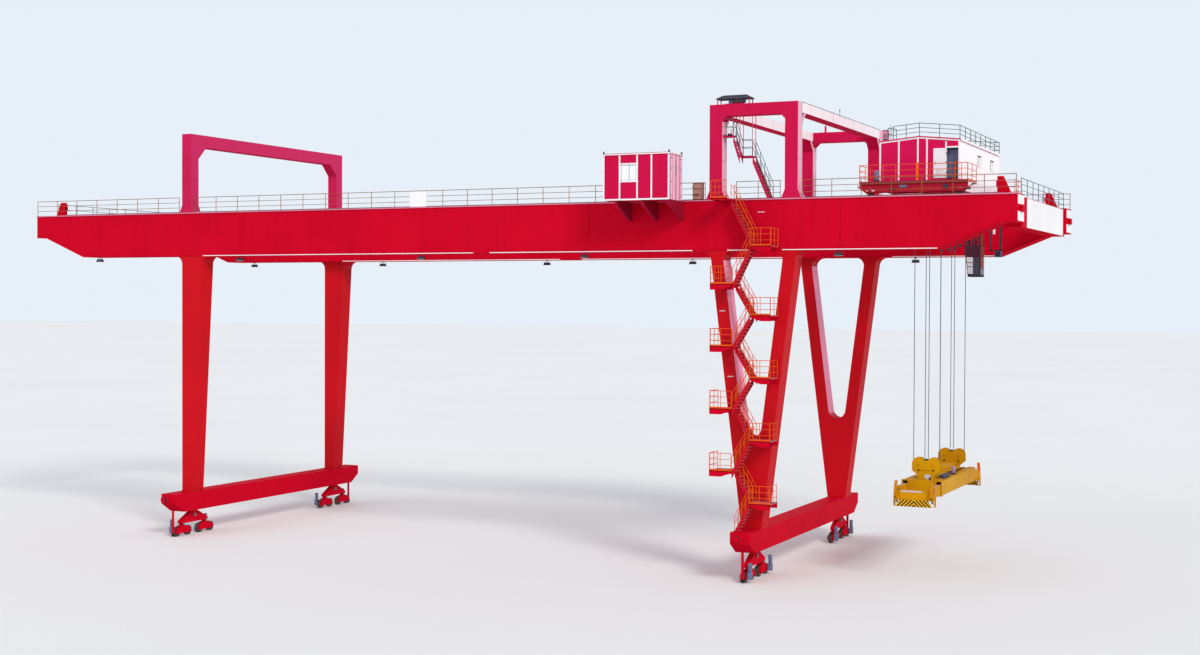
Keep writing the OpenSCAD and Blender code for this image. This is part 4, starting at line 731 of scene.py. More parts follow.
steps, rails, bolts = Build(TREAD), Build(STAIR, RAILGREY), Build(STEEL)
for k, (xa, za, xb, zb, y, w) in enumerate(FLIGHTS):
    n = round((za - zb) / 0.1)
    for i in range(1, n):
        x, z = xa + (xb - xa) * i / n, za - (za - zb) * i / n - 0.09
        tread(steps, x, y, z, w - 0.04)
        for t in SIDES:
            bolts.bolts([(x + d, y + t * w / 2, z) for d in (-0.03, 0.03)], (0, t, 0), 0.007, 0.005)
    slant(rails.use(1 if k > 9 else 0), (xa, y, za), (xb, y, zb), w - 0.02, posts=4 if za - zb > 0.8 else 2)
steps.make("stair_tread_gratings", "crane", "grating", "stair_treads")
bolts.make("stair_bolts", "crane", "rail_steel")

plates = Build(RED, TREAD, PORTAL)
LOW_Y = -OUT_Y - 0.72
for i in range(10):
    x0, x1 = sorted((near_x(i), far_x(i)))
    z = landing_z(i)
    bars(plates.use(1), x0, x1, LOW_Y, -OUT_Y, z)
    plates.use(0)
    for x in (x0, x1 - 0.02):
        plates.box((x, LOW_Y, z - 0.06), (x + 0.02, -OUT_Y, z - 0.018))
    for y in (LOW_Y, -OUT_Y - 0.02):
        tip, deep, reach = z - 0.06, z - 0.17, 0.33
        if far_x(i) < near_x(i):
            line = [(x0, z), (x0, deep), (x1 - reach, deep), (x1, tip), (x1, z)]
        else:
            line = [(x0, z), (x0, tip), (x0 + reach, deep), (x1, deep), (x1, z)]
        if i:
            plates.prism(line, "y", y, y + 0.02)
        else:
            plates.box((x0, y, z - 0.06), (x1, y + 0.02, z))
    end = x0 + 0.01 if far_x(i) < near_x(i) else x1 - 0.01
    fence(rails.use(0), (x0, LOW_Y + 0.01, z), (x1, LOW_Y + 0.01, z), RAIL_H, 0.4)
    fence(rails, (end, LOW_Y + 0.03, z), (end, -OUT_Y - 0.03, z), RAIL_H, 0.4)
    rails.box((x0, LOW_Y + 0.004, z), (x1, LOW_Y + 0.008, z + 0.05))
for x0, x1, z in ((9.03, 9.36, PORTAL_HIGH), (9.56, 9.966, PORTAL_LOW)):
    bars(plates.use(1), x0, x1, -4.58, -4.27, z)
    plates.use(2)
    for y in (-4.58, -4.278):
        plates.box((x0, y, z - 0.05), (x1, y + 0.008, z))
    for x in (x0 + 0.01, x1 - 0.01)[(0 if x0 > 9.5 else 1):]:
        for y in (-4.57, -4.28):
            plates.tube((x, y, z - 0.01), (x, y, 13.665), 0.011, 10)
    for y in (-4.575, -4.275):
        for h in (0.25, 0.48):
            rails.use(1).tube((x0, y, z + h), (x1, y, z + h), 0.008)
plates.make("landing_gratings", "crane", "crane_red", "stair_landings")
rails.make("stair_rail_tubes", "crane", "rail_yellow", "stair_handrails")

# Ground wheels, bogie pins and drives
b, g = Build(IRON, RED), Build(RED, BLUEGREY, STEEL, RUBBER)
for x in SILLS:
    for s in SIDES:
        for u in (-0.9, -0.3, 0.3, 0.9):
            y = s * LEG_Y + u
            wheel(b, (x, y, WHEEL_Z), ALONG_X, 0.15, 0.09, 0.015, 0.06)
            for t in SIDES:
                b.bolts(ring(x + t * 0.057, y, WHEEL_Z, 0.085, 8), (t, 0, 0), 0.008, 0.006)
                g.use(0).lathe([(0, 0.06), (0.012, 0.06), (0.018, 0.052), (0.018, 0.026), (0.028, 0.022), (0.03, 0.01)],
                               (x + t * 0.106, y, WHEEL_Z), (t, 0, 0), 28)
                g.use(2).bolts(ring(x + t * 0.118, y, WHEEL_Z, 0.043, 6, 0.4), (t, 0, 0), 0.006, 0.007)
        for u in (-0.6, 0.6):
            for t in SIDES:
                g.use(2).lathe([(0, 0.042), (0.014, 0.042), (0.018, 0.034)], (x + t * 0.085, s * LEG_Y + u, 0.41),
                               (t, 0, 0), 24)
                g.box((x + t * 0.085, s * LEG_Y + u - 0.05, 0.45), (x + t * 0.095, s * LEG_Y + u + 0.05, 0.462))
        for t in SIDES:
            g.use(2).lathe([(0, 0.07), (0.02, 0.07), (0.028, 0.055)], (x + t * 0.085, s * LEG_Y, 0.67), (t, 0, 0), 28)
        for u in (-0.9, 0.9):
            y = s * LEG_Y + u
            t = -1 if x < 0 else 1
            g.use(1).bar(x + t * 0.122, x + t * 0.24, y, 0.07, 0.1, 0.32)
            motor(g, (x + t * 0.18, y, 0.32), UP, 0.06, 0.26)
        for z in (0.87, 1.49):
            g.use(2).bolts([(x + dx, s * LEG_Y + dy, z if z > 1 else z - 0.02) for dx in (-0.28, 0.28)
                            for dy in (-0.25, 0, 0.25)], UP, 0.016, 0.03)
    for s in SIDES:
        g.use(3).lathe([(0, 0.092), (0.05, 0.1), (0.09, 0.098), (0.0985, 0.08)], (x, s * 5.801, 1.335), (0, s, 0), 32)
        g.use(0).slab(x, 0.04, s * 5.35, s * 5.38, 0.1, 0.9)
        g.use(3).slab(x, 0.06, s * 5.34, s * 5.39, 0.03, 0.12)
b.make("ground_wheels_turned", "crane", "wheel_steel", "ground_wheels")
g.make("bogie_fittings", "crane", "crane_red", bevel=0.002)

# Floodlights under the girders
b = Build(DARK, LENS, STEEL)
for s in SIDES:
    for sx in SPLICES:
        x, y = sx - 0.13, s * 4.505
        b.use(0).tube((x, y, BOTTOM), (x, y, BOTTOM - 0.05), 0.014)
        b.post(x, 0.05, y, 0.05, BOTTOM - 0.008, BOTTOM)
        b.path([(x - 0.125, y, 9.56), (x - 0.125, y, 9.635), (x + 0.125, y, 9.635), (x + 0.125, y, 9.56)], 0.007)
        b.prism([(x - 0.1, 9.592), (x + 0.1, 9.592), (x + 0.13, 9.52), (x - 0.13, 9.52)], "y", y - 0.06, y + 0.06)
        for i in range(9):
            f = x - 0.088 + i * 0.022
            b.post(f, 0.003, y, 0.05, 9.59, 9.612)
        b.use(2).post(x, 0.132, y, 0.062, 9.514, 9.522)
        b.use(1).post(x, 0.115, y, 0.048, 9.51, 9.515)
b.make("floodlight_housings", "crane", "dark_paint", "floodlights")

# Electrical house: window, corner castings, conduits, door and louvres at the back
EX0, EX1, EY0, EY1, EZ, EROOF = 5.66, 7.8, -5.725, -4.725, 11.175, 12.515
b = Build(WHITE, GLASS, RUBBER, SKY_REFLECTION_PANE)
wx0, wx1, wz0, wz1 = 6.225, 6.77, 11.74, 12.245
for x0, x1, z0, z1 in rim(wx0, wx1, wz0, wz1, 0.03) + [(6.485, 6.51, wz0, wz1)]:
    b.use(0).box((x0, EY0 + 0.004, z0), (x1, EY0 + 0.046, z1))
for x0, x1 in ((wx0 + 0.03, 6.485), (6.51, wx1 - 0.03)):
    b.use(2)
    for a, c, z0, z1 in rim(x0, x1, wz0 + 0.03, wz1 - 0.03, 0.006):
        b.box((a, EY0 + 0.018, z0), (c, EY0 + 0.036, z1))
    # The panes take the near-white glass, a painted reflection of the sky.
    b.use(3).box((x0 + 0.005, EY0 + 0.024, wz0 + 0.034), (x1 - 0.005, EY0 + 0.03, wz1 - 0.034))
b.use(0).box((6.468, EY0 - 0.004, 11.96), (6.482, EY0 + 0.006, 12.03))
b.make("e_house_window_frame", "crane", "window_glass", "e_house_window", bevel=0.001)

b = Build(EHOUSE, DARK, WHITE, STEEL, PALE)
b.use(2).box((EX0 - 0.027, EY0 - 0.027, EROOF + 0.006), (EX1 + 0.027, EY0 - 0.024, EROOF + 0.036))
b.box((EX1 + 0.024, EY0 - 0.027, EROOF + 0.006), (EX1 + 0.027, EY1 + 0.025, EROOF + 0.036))
for x in (EX0, EX1 - 0.03):
    for y in (EY0, EY1 - 0.03):
        b.use(1).prism([(x - 0.004, 12.545), (x + 0.034, 12.545), (x + 0.034, 12.62), (x + 0.028, 12.637),
                        (x + 0.002, 12.637), (x - 0.004, 12.62)], "y", y - 0.004, y + 0.034)
for y in (EY0 + 0.14, EY0 + 0.86):
    b.use(2).tube((EX1 + 0.018, y, EZ + 0.02), (EX1 + 0.018, y, EROOF - 0.02), 0.012)
    for z in (11.3, 11.7, 12.1, 12.4):
        b.use(3).bar(EX1, EX1 + 0.032, y, 0.022, z - 0.008, z + 0.008)
b.use(4)
for i in range(12):
    z = 11.95 + i * 0.03
    b.prism([(EX1, z), (EX1 + 0.014, z - 0.012), (EX1 + 0.014, z - 0.006), (EX1, z + 0.008)],
            "y", EY0 + 0.44, EY0 + 0.56)
b.use(0).box((6.3, EY1, 11.22), (6.75, EY1 + 0.012, 12.3))
b.use(1)
for x0, x1, z0, z1 in ((6.28, 6.3, 11.2, 12.32), (6.75, 6.77, 11.2, 12.32), (6.28, 6.77, 12.3, 12.32)):
    b.box((x0, EY1, z0), (x1, EY1 + 0.016, z1))
for z in (11.4, 11.76, 12.12):
    hinge(b.use(3), 6.3, EY1 + 0.012, z, 1)
handle(b, 6.71, EY1 + 0.012, 11.7, 1)
for x0 in (5.8, 7.0):
    b.use(1).box((x0 - 0.02, EY1, 11.58), (x0 + 0.48, EY1 + 0.006, 12.0))
    for i in range(12):
        z = 11.61 + i * 0.032
        b.use(4).prism([(EY1, z), (EY1 + 0.022, z - 0.012), (EY1 + 0.022, z - 0.006), (EY1, z + 0.012)], "x", x0,
                       x0 + 0.46)
for x in (6.04, 6.9, 7.74):
    b.use(3).bolts([(x + dx, -4.6, z) for dx in (-0.02, 0.02) for z in (10.68, 10.85, 11.0)], (0, -1, 0), 0.008, 0.01)
    b.use(0).beam((x, -4.66, 10.63), (x, EY0 + 0.03, 11.08), 0.085, 0.01)
b.make("e_house_fittings", "crane", "crane_red", bevel=0.0015)

# Utility cabinet and the bare board on the handrail
b = Build(BROWN, DARK, STEEL)
x0, y0 = 8.08, -4.575
b.box((x0, y0, TOP + 0.03), (x0 + 0.27, y0 + 0.24, 11.705))
b.prism([(x0 - 0.015, 11.704), (x0 + 0.285, 11.704), (x0 + 0.275, 11.725), (x0 - 0.005, 11.725)],
        "y", y0 - 0.008, y0 + 0.255)
b.box((x0 + 0.02, y0 - 0.006, TOP + 0.06), (x0 + 0.25, y0, 11.68))
for dx in (0.01, 0.24):
    for dy in (0.01, 0.21):
        b.use(1).box((x0 + dx, y0 + dy, TOP), (x0 + dx + 0.02, y0 + dy + 0.02, TOP + 0.03))
for i in range(6):
    b.box((x0 + 0.06, y0 - 0.009, 11.3 + i * 0.02), (x0 + 0.21, y0 - 0.005, 11.308 + i * 0.02))
for z in (11.35, 11.6):
    hinge(b.use(2), x0 + 0.02, y0 - 0.006, z, -1)
handle(b, x0 + 0.225, y0 - 0.006, 11.45, -1)
b.make("utility_cabinet_body", "crane", "brown_paint", "utility_cabinet", bevel=0.003)

b = Build(WHITE, STEEL)
b.prism([(-1.763, 11.21), (-1.123, 11.21), (-1.123, 11.7), (-1.763, 11.7)], "y", -4.611, -4.606)
for x0, x1, z0, z1 in rim(-1.763, -1.123, 11.21, 11.7, 0.016):
    b.box((x0, -4.613, z0), (x1, -4.604, z1))
for x in (-1.6, -1.28):
    for z in (11.37, 11.545):
        clip = ((-4.612, -0.02), (-4.582, -0.02), (-4.582, 0.014), (-4.612, 0.014))
        b.use(1).path([(x, y, z + h) for y, h in clip], 0.004)
        b.tube((x, -4.6115, z - 0.02), (x, -4.6165, z - 0.02), 0.009, 6)
b.make("bare_board", "crane", "trim_white", "sign_board")

# Trolley wheels, bearing caps, buffers and drives
b, g = Build(IRON), Build(MAROON, STEEL, WHITE, RUBBER, BLUEGREY, ORANGE, DARK)
for s in SIDES:
    for t in SIDES:
        x, z = TX + t * 1.275, 11.4104
        wheel(b, (x, s * RAIL_Y, z), (0, 1, 0), 0.135, 0.07, 0.015, 0.104)
        for u in SIDES:
            y = s * RAIL_Y + u * 0.13
            g.use(0).lathe([(0, 0.085), (0.014, 0.085), (0.018, 0.078), (0.018, 0.05), (0.034, 0.045), (0.036, 0.02)],
                           (x, y, z), (0, u, 0), 30)
            g.use(1).bolts(ring(x, y + u * 0.014, z, 0.068, 6, 0.3, "y"), (0, u, 0), 0.007, 0.009)
        for k, prof in ((2, [(0, 0.047), (0.075, 0.047), (0.078, 0.043)]),
                        (3, [(0.072, 0.036), (0.078, 0.042), (0.09, 0.042), (0.093, 0.034)])):
            g.use(k).lathe(prof, (TX + t * 1.566, s * RAIL_Y, 11.515), (t, 0, 0), 28)
    for u in SIDES:
        y = s * RAIL_Y + u * 0.13
        for x in np.arange(13.55, 15.7, 0.215):
            g.use(1).bolts([(x, y, 11.55)], (0, u, 0), 0.007, 0.007)
    x, y = TX + 1.275, s * 3.665
    g.use(4).prism([(x - 0.09, 11.34), (x + 0.05, 11.34), (x + 0.09, 11.4), (x + 0.09, 11.5), (x - 0.09, 11.5)],
                   "y", y - 0.055, y + 0.055)
    motor(g, (x + 0.085, y, 11.44), ALONG_X, 0.05, 0.2)
    for cx in (13.425, 15.535):
        for dy in (0.9, 1.45, 2.3, 2.75, 3.2):
            g.use(0).post(cx, 0.133, s * dy, 0.006, 11.46, 11.57 if dy > 2.8 else 11.74)
        g.use(1).bolts([(cx + dx, s * 3.742, 11.5 + dz) for dx in (-0.1, 0.1) for dz in (0, 0.05)],
                       (0, -s, 0), 0.011, 0.012)
b.make("trolley_wheels_turned", "trolley", "wheel_steel", "trolley_wheels")

# Pieces that stand on the deck, seen left of and in front of the house
g.use(4).lathe([(0, 0.07), (0.006, 0.075), (0.1, 0.075), (0.104, 0.078), (0.11, 0.075), (0.19, 0.075), (0.194, 0.078),
                (0.2, 0.075), (0.284, 0.075), (0.29, 0.07)], (13.24, -2.93, 11.77), UP, 32)
g.use(6)
for dx, dy in ((-0.05, -0.05), (0.05, -0.05), (-0.05, 0.05), (0.05, 0.05)):
    g.box((13.24 + dx - 0.008, -2.93 + dy - 0.008, DECK), (13.24 + dx + 0.008, -2.93 + dy + 0.008, 11.77))
g.box((13.16, -3.01, 11.755), (13.32, -2.85, 11.77))
for x0, x1, z0, z1, k in ((14.2, 14.42, 11.46, 11.53, 4), (15.47, 15.6, 11.4, 11.52, 6), (13.24, 13.3, 11.37, 11.4, 2),
                          (13.4, 13.48, 11.37, 11.4, 2), (13.9, 14.1, 11.4, 11.44, 6)):
    g.use(k).box((x0, -4.03, z0), (x1, -4.005, z1))
g.use(5).box((14.69, -4.055, DECK), (14.75, -3.995, 12.13))
g.prism([(14.685, 12.13), (14.755, 12.13), (14.74, 12.15), (14.7, 12.15)], "y", -4.06, -3.99)
for s in SIDES:
    g.use(1).bolts([(x, s * y, DECK) for x in np.arange(13.15, 16.1, 0.35) for y in (2.95, 3.9)], UP, 0.008, 0.005)
g.make("trolley_fittings", "trolley", "crane_red", bevel=0.0015)

b = Build(STAIR)
FRONT = [0.0, 0.222, 0.34, 0.54, 0.657, 0.887, 0.945, 1.0]
for s in SIDES:
    fence(b, (13.035, s * 4.05, 11.65), (16.165, s * 4.05, 11.65), 0.475, 0.6, posts=FRONT if s < 0 else None)
    for x in (13.045, 16.155):
        fence(b, (x, s * 2.885, DECK + 0.02), (x, s * 4.03, DECK + 0.02), RAIL_H - 0.02, 0.6)
        b.slab(x, 0.004, s * 2.885, s * 4.03, DECK + 0.02, DECK + 0.07)
b.make("trolley_rail_tubes", "trolley", "rail_yellow", "trolley_handrails")


# Machinery house
def gable(x):
    return EAVES + 0.115 * (1 - abs(x - SPX) / 1.185)


b = Build(HOUSE, WHITE, STEEL, DARK, BLUEGREY, ORANGE, ROPE, RAILGREY)
for s in SIDES:
    b.use(1)
    for x in (HX0 - 0.03, HX1 + 0.03):
        b.box((x - 0.006, s * 2.859, gable(x) - 0.03), (x + 0.006, s * 2.8, gable(x) + 0.032))
for i in range(1, 12):
    y = -2.855 + 5.71 * i / 12
    b.use(0).prism([(HX0 - 0.03, gable(HX0 - 0.03) + 0.03), (SPX, RIDGE + 0.03), (HX1 + 0.03, gable(HX1 + 0.03) + 0.03),
                    (HX1 + 0.03, gable(HX1 + 0.03) + 0.045), (SPX, RIDGE + 0.045),
                    (HX0 - 0.03, gable(HX0 - 0.03) + 0.045)], "y", y - 0.008, y + 0.008)
for x in (HX0 - 0.034, HX1 + 0.034):
    b.slab(x, 0.004, -2.855, 2.855, 12.86, 12.92)
for i in range(1, 8):
    y = -HY + 5.65 * i / 8
    for x in (HX0 - 0.004, HX1 + 0.004):
        b.use(1).beam((x, y, 11.76), (x, y, 12.86), 0.012, 0.008, ALONG_X)
for z in (11.78, 11.84):
    b.use(1).box((HX1, -HY, z), (HX1 + 0.006, HY, z + 0.012))
b.use(3)
for x0, x1, z0, z1 in ((15.275, 15.285, 11.785, 12.655), (15.615, 15.625, 11.785, 12.655),
                       (15.275, 15.625, 12.645, 12.655)):
    b.box((x0, -HY - 0.01, z0), (x1, -HY + 0.055, z1))
b.box((15.285, -HY - 0.03, 11.775), (15.615, -HY + 0.05, 11.79))
b.use(4).box((15.15, -2.66, 11.785), (15.6, -2.2, 12.64))
b.box((15.3, -2.668, 11.82), (15.44, -2.66, 12.6))
b.box((15.455, -2.668, 11.82), (15.59, -2.66, 12.6))
b.use(5).path(rounded([(15.48, -2.7, 11.785), (15.48, -2.7, 12.28), (15.6, -2.7, 12.28), (15.6, -2.7, 11.785)],
              0.03), 0.012)
b.tube((15.48, -2.7, 12.05), (15.6, -2.7, 12.05), 0.01)
drum = [(0, 0.3), (0.02, 0.3), (0.02, 0.22)] + [(0.03 + i * 0.02, 0.22 + 0.008 * (i % 2)) for i in range(50)]
for s in SIDES:
    b.use(6).lathe(drum + [(1.04, 0.22), (1.04, 0.3), (1.06, 0.3)], (SPX, s * 0.4, 12.2), (0, s, 0), 40)
    b.use(4).slab(SPX, 0.25, s * 1.5, s * 1.9, 11.785, 12.4)
    motor(b, (SPX, s * 1.9, 12.15), (0, s, 0), 0.16, 0.5, 28)
x0, x1, y0, y1 = 13.373, 13.522, -2.807, -2.603
b.use(7).box((x0 - 0.012, y0 - 0.012, 13.236), (x1 + 0.012, y1 + 0.012, 13.25))
for i in range(5):
    b.box((x0 + 0.025, y0 - 0.005, 13.02 + i * 0.025), (x1 - 0.025, y0 + 0.001, 13.03 + i * 0.025))
for y in (-2.8, -2.45):
    b.use(7).path(rounded([(13.535, y, 12.93), (13.535, y, 13.3), (13.7, y, 13.3), (13.7, y, 12.96)], 0.03), 0.01)
    b.tube((13.535, y, 13.12), (13.7, y, 13.12), 0.008)
for z in (13.3, 13.12):
    b.tube((13.535, -2.8, z), (13.535, -2.45, z), 0.008)
b.tube((13.6, -2.7, 12.95), (13.6, -2.7, 13.42), 0.006)
b.make("machinery_house_fittings", "trolley", "crane_red", bevel=0.001)

b = Build(PINK, DARK)
b.box((13.374, -2.806, 12.9), (13.521, -2.604, 13.241))
b.use(1).box((13.39, -2.81, 12.95), (13.505, -2.806, 12.99))
b.make("roof_box_shell", "trolley", "crane_red", bevel=0.004)

# Door leaf folded back beside the doorway
b = Build(WHITE, STEEL, RUBBER)
x0, x1, y, z0, z1 = 14.896, 15.281, -HY, 11.793, 12.653
b.box((x0, y - 0.022, z0), (x1, y - 0.002, z1))
for a, c, e, f in rim(x0 + 0.02, x1 - 0.02, z0 + 0.03, z1 - 0.03, 0.02) + [(x0 + 0.02, x1 - 0.02, 12.2, 12.22)]:
    b.box((a, y - 0.028, e), (c, y - 0.022, f))
for i in range(7):
    b.prism([(y - 0.022, 11.9 + i * 0.025), (y - 0.034, 11.892 + i * 0.025), (y - 0.034, 11.898 + i * 0.025),
             (y - 0.022, 11.91 + i * 0.025)], "x", x0 + 0.09, x1 - 0.09)
for z in (11.95, 12.25, 12.5):
    hinge(b.use(1), x1, y - 0.022, z, -1)
handle(b, x0 + 0.065, y - 0.022, 12.19, -1)
b.use(2).slab(x0, 0.002, y - 0.012, y - 0.004, z0 + 0.01, z1 - 0.01)
b.make("house_door_leaf", "trolley", "trim_white", "machinery_house_door", bevel=0.0015)

# Roof handrail
b = Build(RAILGREY)


def rz(x):
    return gable(x) + 0.03


X0, X1, H = 13.7, 15.665, 0.385
for s in SIDES:
    y = s * 2.835
    for x in (X0 + 0.01, 14.09, SPX, 15.07, X1):
        b.tube((x, y, rz(x)), (x, y, rz(x) + H - 0.01), 0.01)
        b.post(x, 0.02, y, 0.018, rz(x) - 0.004, rz(x) + 0.006)
    for k in (1 / 3, 2 / 3, 1):
        h = H * k - 0.01
        b.path([(X0, y, rz(X0) + h), (SPX, y, rz(SPX) + h), (X1, y, rz(X1) + h)], 0.01 if k == 1 else 0.008)
for i in range(9):
    y = -2.835 + 5.67 * i / 8
    b.tube((X1, y, rz(X1)), (X1, y, rz(X1) + H - 0.01), 0.01)
for k in (1 / 3, 2 / 3, 1):
    z = rz(X1) + H * k - 0.01
    b.tube((X1, -2.835, z), (X1, 2.835, z), 0.01 if k == 1 else 0.008)
b.make("roof_rail_tubes", "trolley", "dark_paint", "roof_handrail")

# Glazing of the house and the cab
b = Build(GLASS, DARK, SKY_REFLECTION_PANE, CABGLASS, WHITE)
for y in (-0.15, 1.7):
    frames = rim(y - 0.25, y + 0.25, 12.27, 12.63, 0.025) + [(y - 0.01, y + 0.01, 12.27, 12.63)]
    for k, (a, c, z0, z1) in zip((1, 4, 4, 1, 4), frames):
        b.use(k).box((HX1 - 0.045, a, z0), (HX1 + 0.008, c, z1))
    # The pane is near white, a painted reflection of the sky.
    b.use(2).bar(HX1 - 0.025, HX1 - 0.019, y, 0.23, 12.29, 12.61)


def front_x(z):
    return CABX + 0.1 * (CABZ + 0.97 - z) / 0.97


for s in SIDES:
    y0, y1 = s * 0.281, s * 0.287
    # The side panes are near white, a painted reflection of the sky.
    for z0, z1 in ((9.05, 9.255), (9.275, 9.38), (9.4, 9.555)):
        b.use(2).prism([(front_x(z0) + 0.02, z0), (15.525, z0), (15.525, z1), (front_x(z1) + 0.02, z1)], "y", y0, y1)
    b.use(3).prism([(15.535, PANE_LOW), (15.715, PANE_LOW), (15.715, PANE_TOP), (15.535, PANE_TOP)], "y", y0, y1)
    b.use(1)
    for z in (9.04, 9.265, 9.39, 9.565):
        b.beam((front_x(z) + 0.02, s * 0.286, z), (15.53, s * 0.286, z), 0.008, 0.01)
    b.beam((15.53, s * 0.286, 9.0), (15.53, s * 0.286, 9.58), 0.012, 0.014, ALONG_X)
    for z in (9.16, 9.3, 9.44):
        b.beam((15.535, s * 0.288, z), (15.715, s * 0.288, z), 0.004, 0.006)
foot, head = front_x(9.03), front_x(PANE_TOP)
b.use(3).prism([(foot - 0.004, 9.03), (head - 0.004, PANE_TOP), (head + 0.004, PANE_TOP), (foot + 0.004, 9.03)],
               "y", -CAB_IN, CAB_IN)
b.box((15.739, -CAB_IN, 9.03), (15.744, CAB_IN, PANE_TOP))
b.use(1)
for z in (PANE_LOW, 9.2, 9.4, 9.58):
    b.beam((15.745, -0.26, z), (15.745, 0.26, z), 0.012, 0.012)
    b.beam((front_x(z) - 0.006, -0.26, z), (front_x(z) - 0.006, 0.26, z), 0.01, 0.012)
b.make("trolley_glazing", "trolley", "window_glass", "trolley_glass", bevel=0.001)

# Cab shell, seat and console
b = Build(DARK, RUBBER, PALE, BAND)
for s in SIDES:
    lower = [(front_x(CABZ), CABZ), (CAB_BACK, CABZ), (CAB_BACK, PANE_LOW), (front_x(PANE_LOW), PANE_LOW)]
    upper = [(front_x(PANE_TOP), PANE_TOP), (CAB_BACK, PANE_TOP), (CAB_BACK, CAB_TOP), (CABX, CAB_TOP)]
    for k, line in ((0, lower), (3, upper)):
        b.use(k).prism(line, "y", s * CAB_IN, s * CAB_OUT)
    b.use(0)
    for x0, x1, z0, z1 in ((15.465, 15.485, PANE_LOW, PANE_TOP), (15.715, CAB_BACK, PANE_LOW, PANE_TOP)):
        b.box((x0, s * CAB_IN, z0), (x1, s * CAB_OUT, z1))
    foot, head = front_x(PANE_LOW), front_x(PANE_TOP)
    b.prism([(foot, PANE_LOW), (foot + 0.035, PANE_LOW), (head + 0.035, PANE_TOP), (head, PANE_TOP)],
            "y", s * CAB_IN, s * CAB_OUT)
b.prism([(CABX + 0.1, CABZ), (CAB_BACK, CABZ), (CAB_BACK, CABZ + 0.03), (CABX + 0.097, CABZ + 0.03)],
        "y", -CAB_IN, CAB_IN)
b.box((CABX + 0.003, -CAB_IN, 9.9), (CAB_BACK, CAB_IN, CAB_TOP))
b.prism([(CABX, CAB_TOP), (front_x(PANE_TOP), PANE_TOP), (front_x(PANE_TOP) + 0.03, PANE_TOP), (CABX + 0.03, CAB_TOP)],
        "y", -CAB_IN, CAB_IN)
b.prism([(front_x(9.03), 9.03), (CABX + 0.1, CABZ), (CABX + 0.13, CABZ), (front_x(9.03) + 0.03, 9.03)],
        "y", -CAB_IN, CAB_IN)
b.box((15.71, -CAB_IN, PANE_TOP), (CAB_BACK, CAB_IN, CAB_TOP))
b.box((15.71, -CAB_IN, 8.96), (CAB_BACK, CAB_IN, 9.03))
for x, w in ((15.29, 0.03), (15.4, 0.012), (15.52, 0.026), (15.6, 0.01), (15.7, 0.034)):
    b.box((x - w, -0.284, 9.6), (x + w, 0.284, 9.925))
for z in (9.65, 9.75, 9.85):
    for s in SIDES:
        b.box((CABX + 0.05, s * 0.279, z - 0.003), (15.73, s * 0.283, z + 0.003))
b.prism([(15.47, 8.992), (15.64, 8.992), (15.62, 9.16), (15.49, 9.16)], "y", -0.09, 0.09)
b.use(1).prism([(15.45, 9.16), (15.64, 9.16), (15.69, 9.46), (15.655, 9.47), (15.61, 9.21), (15.45, 9.2)],
               "y", -0.11, 0.11)
for s in SIDES:
    b.use(2).prism([(15.43, 9.17), (15.6, 9.17), (15.6, 9.24), (15.43, 9.22)], "y", s * 0.13, s * 0.2)
    b.use(1).tube((15.46, s * 0.165, 9.22), (15.455, s * 0.165, 9.31), 0.007)
    b.lathe([(0, 0.008), (0.01, 0.014), (0.022, 0.014), (0.03, 0.006)], (15.455, s * 0.165, 9.3), UP, 14)
b.make("cab_shell", "trolley", "cab_white", "cab_body", bevel=0.003)

# Frame that hangs the cab, its ladder and the service frame
b = Build(DARK, STAIR, STEEL, BLUEGREY, WHITE)
for s in SIDES:
    y = s * 0.22
    for x in (15.29, 15.5, 15.71):
        b.use(0).post(x, 0.026, y, 0.026, CAB_TOP, 11.36)
        b.slab(x, 0.04, y - 0.04, y + 0.035, CAB_TOP, 9.942)
        for z in (10.0, 11.27):
            b.prism([(x + 0.026, z), (x + 0.07, z + (0.08 if z > 11 else 0)), (x + 0.026, z + 0.08)],
                    "y", y - 0.004, y + 0.004)
    b.bar(15.26, CAB_BACK, y, 0.03, 11.35, 11.36)
    b.bar(15.26, CAB_BACK, y, 0.03, 11.44, 11.45)
    b.bar(15.26, CAB_BACK, y, 0.006, 11.35, 11.45)
    b.beam((15.3, y, 9.98), (15.48, y, 10.9), 0.02, 0.02)
    b.beam((15.52, y, 10.9), (15.7, y, 9.98), 0.02, 0.02)
for x in (15.29, 15.71):
    b.slab(x, 0.03, -0.19, 0.19, 11.35, 11.4)
b.box((15.68, -0.25, 11.35), (15.764, -0.19, 11.4))
b.box((CAB_BACK, -0.22, 11.35), (15.764, 0.0, 11.4))
b.use(1)
for y in (-0.25, -0.01):
    b.tube((15.752, y, 9.21), (15.752, y, 11.41), 0.011)
for i in range(21):
    b.tube((15.751, -0.25, 9.266 + i * 0.1), (15.751, -0.01, 9.266 + i * 0.1), 0.0075)
for x, z in ((14.6, 9.74), (14.77, 9.76), (14.97, 9.78), (15.12, 9.88)):
    b.use(0).tube((x, -0.28, z), (x, -0.28, 11.4), 0.012)
    b.prism([(x - 0.04, z), (x + 0.03, z - 0.03), (x + 0.04, z + 0.15), (x - 0.03, z + 0.15)], "y", -0.31, -0.25)
b.box((14.56, -0.33, 11.38), (15.16, -0.23, 11.4))
sx0, sx1, sy = 15.605, 15.965, 1.8
for x0, x1, w, z0, z1 in ((sx0, sx1, 0.03, 11.35, 11.45), (sx0, sx0 + 0.055, 0.03, 9.805, 11.36),
                          (sx1 - 0.055, sx1, 0.03, 9.605, 11.36), (sx0, sx1, 0.03, 9.805, 9.835),
                          (sx0, sx1, 0.02, 10.6, 10.63)):
    b.box((x0, sy - w, z0), (x1, sy + w, z1))
b.use(3).box((15.775, 1.69, 9.605), (15.965, 1.91, 9.8))
b.use(0).box((15.79, 1.684, 9.63), (15.95, 1.69, 9.78))
b.use(4).box((15.7, 1.765, 10.33), (15.775, 1.775, 10.55))
b.tube((15.737, 1.77, 10.55), (15.737, 1.77, 10.62), 0.008)
b.make("cab_hanger_frame", "trolley", "dark_paint", "cab_hanger", bevel=0.002)

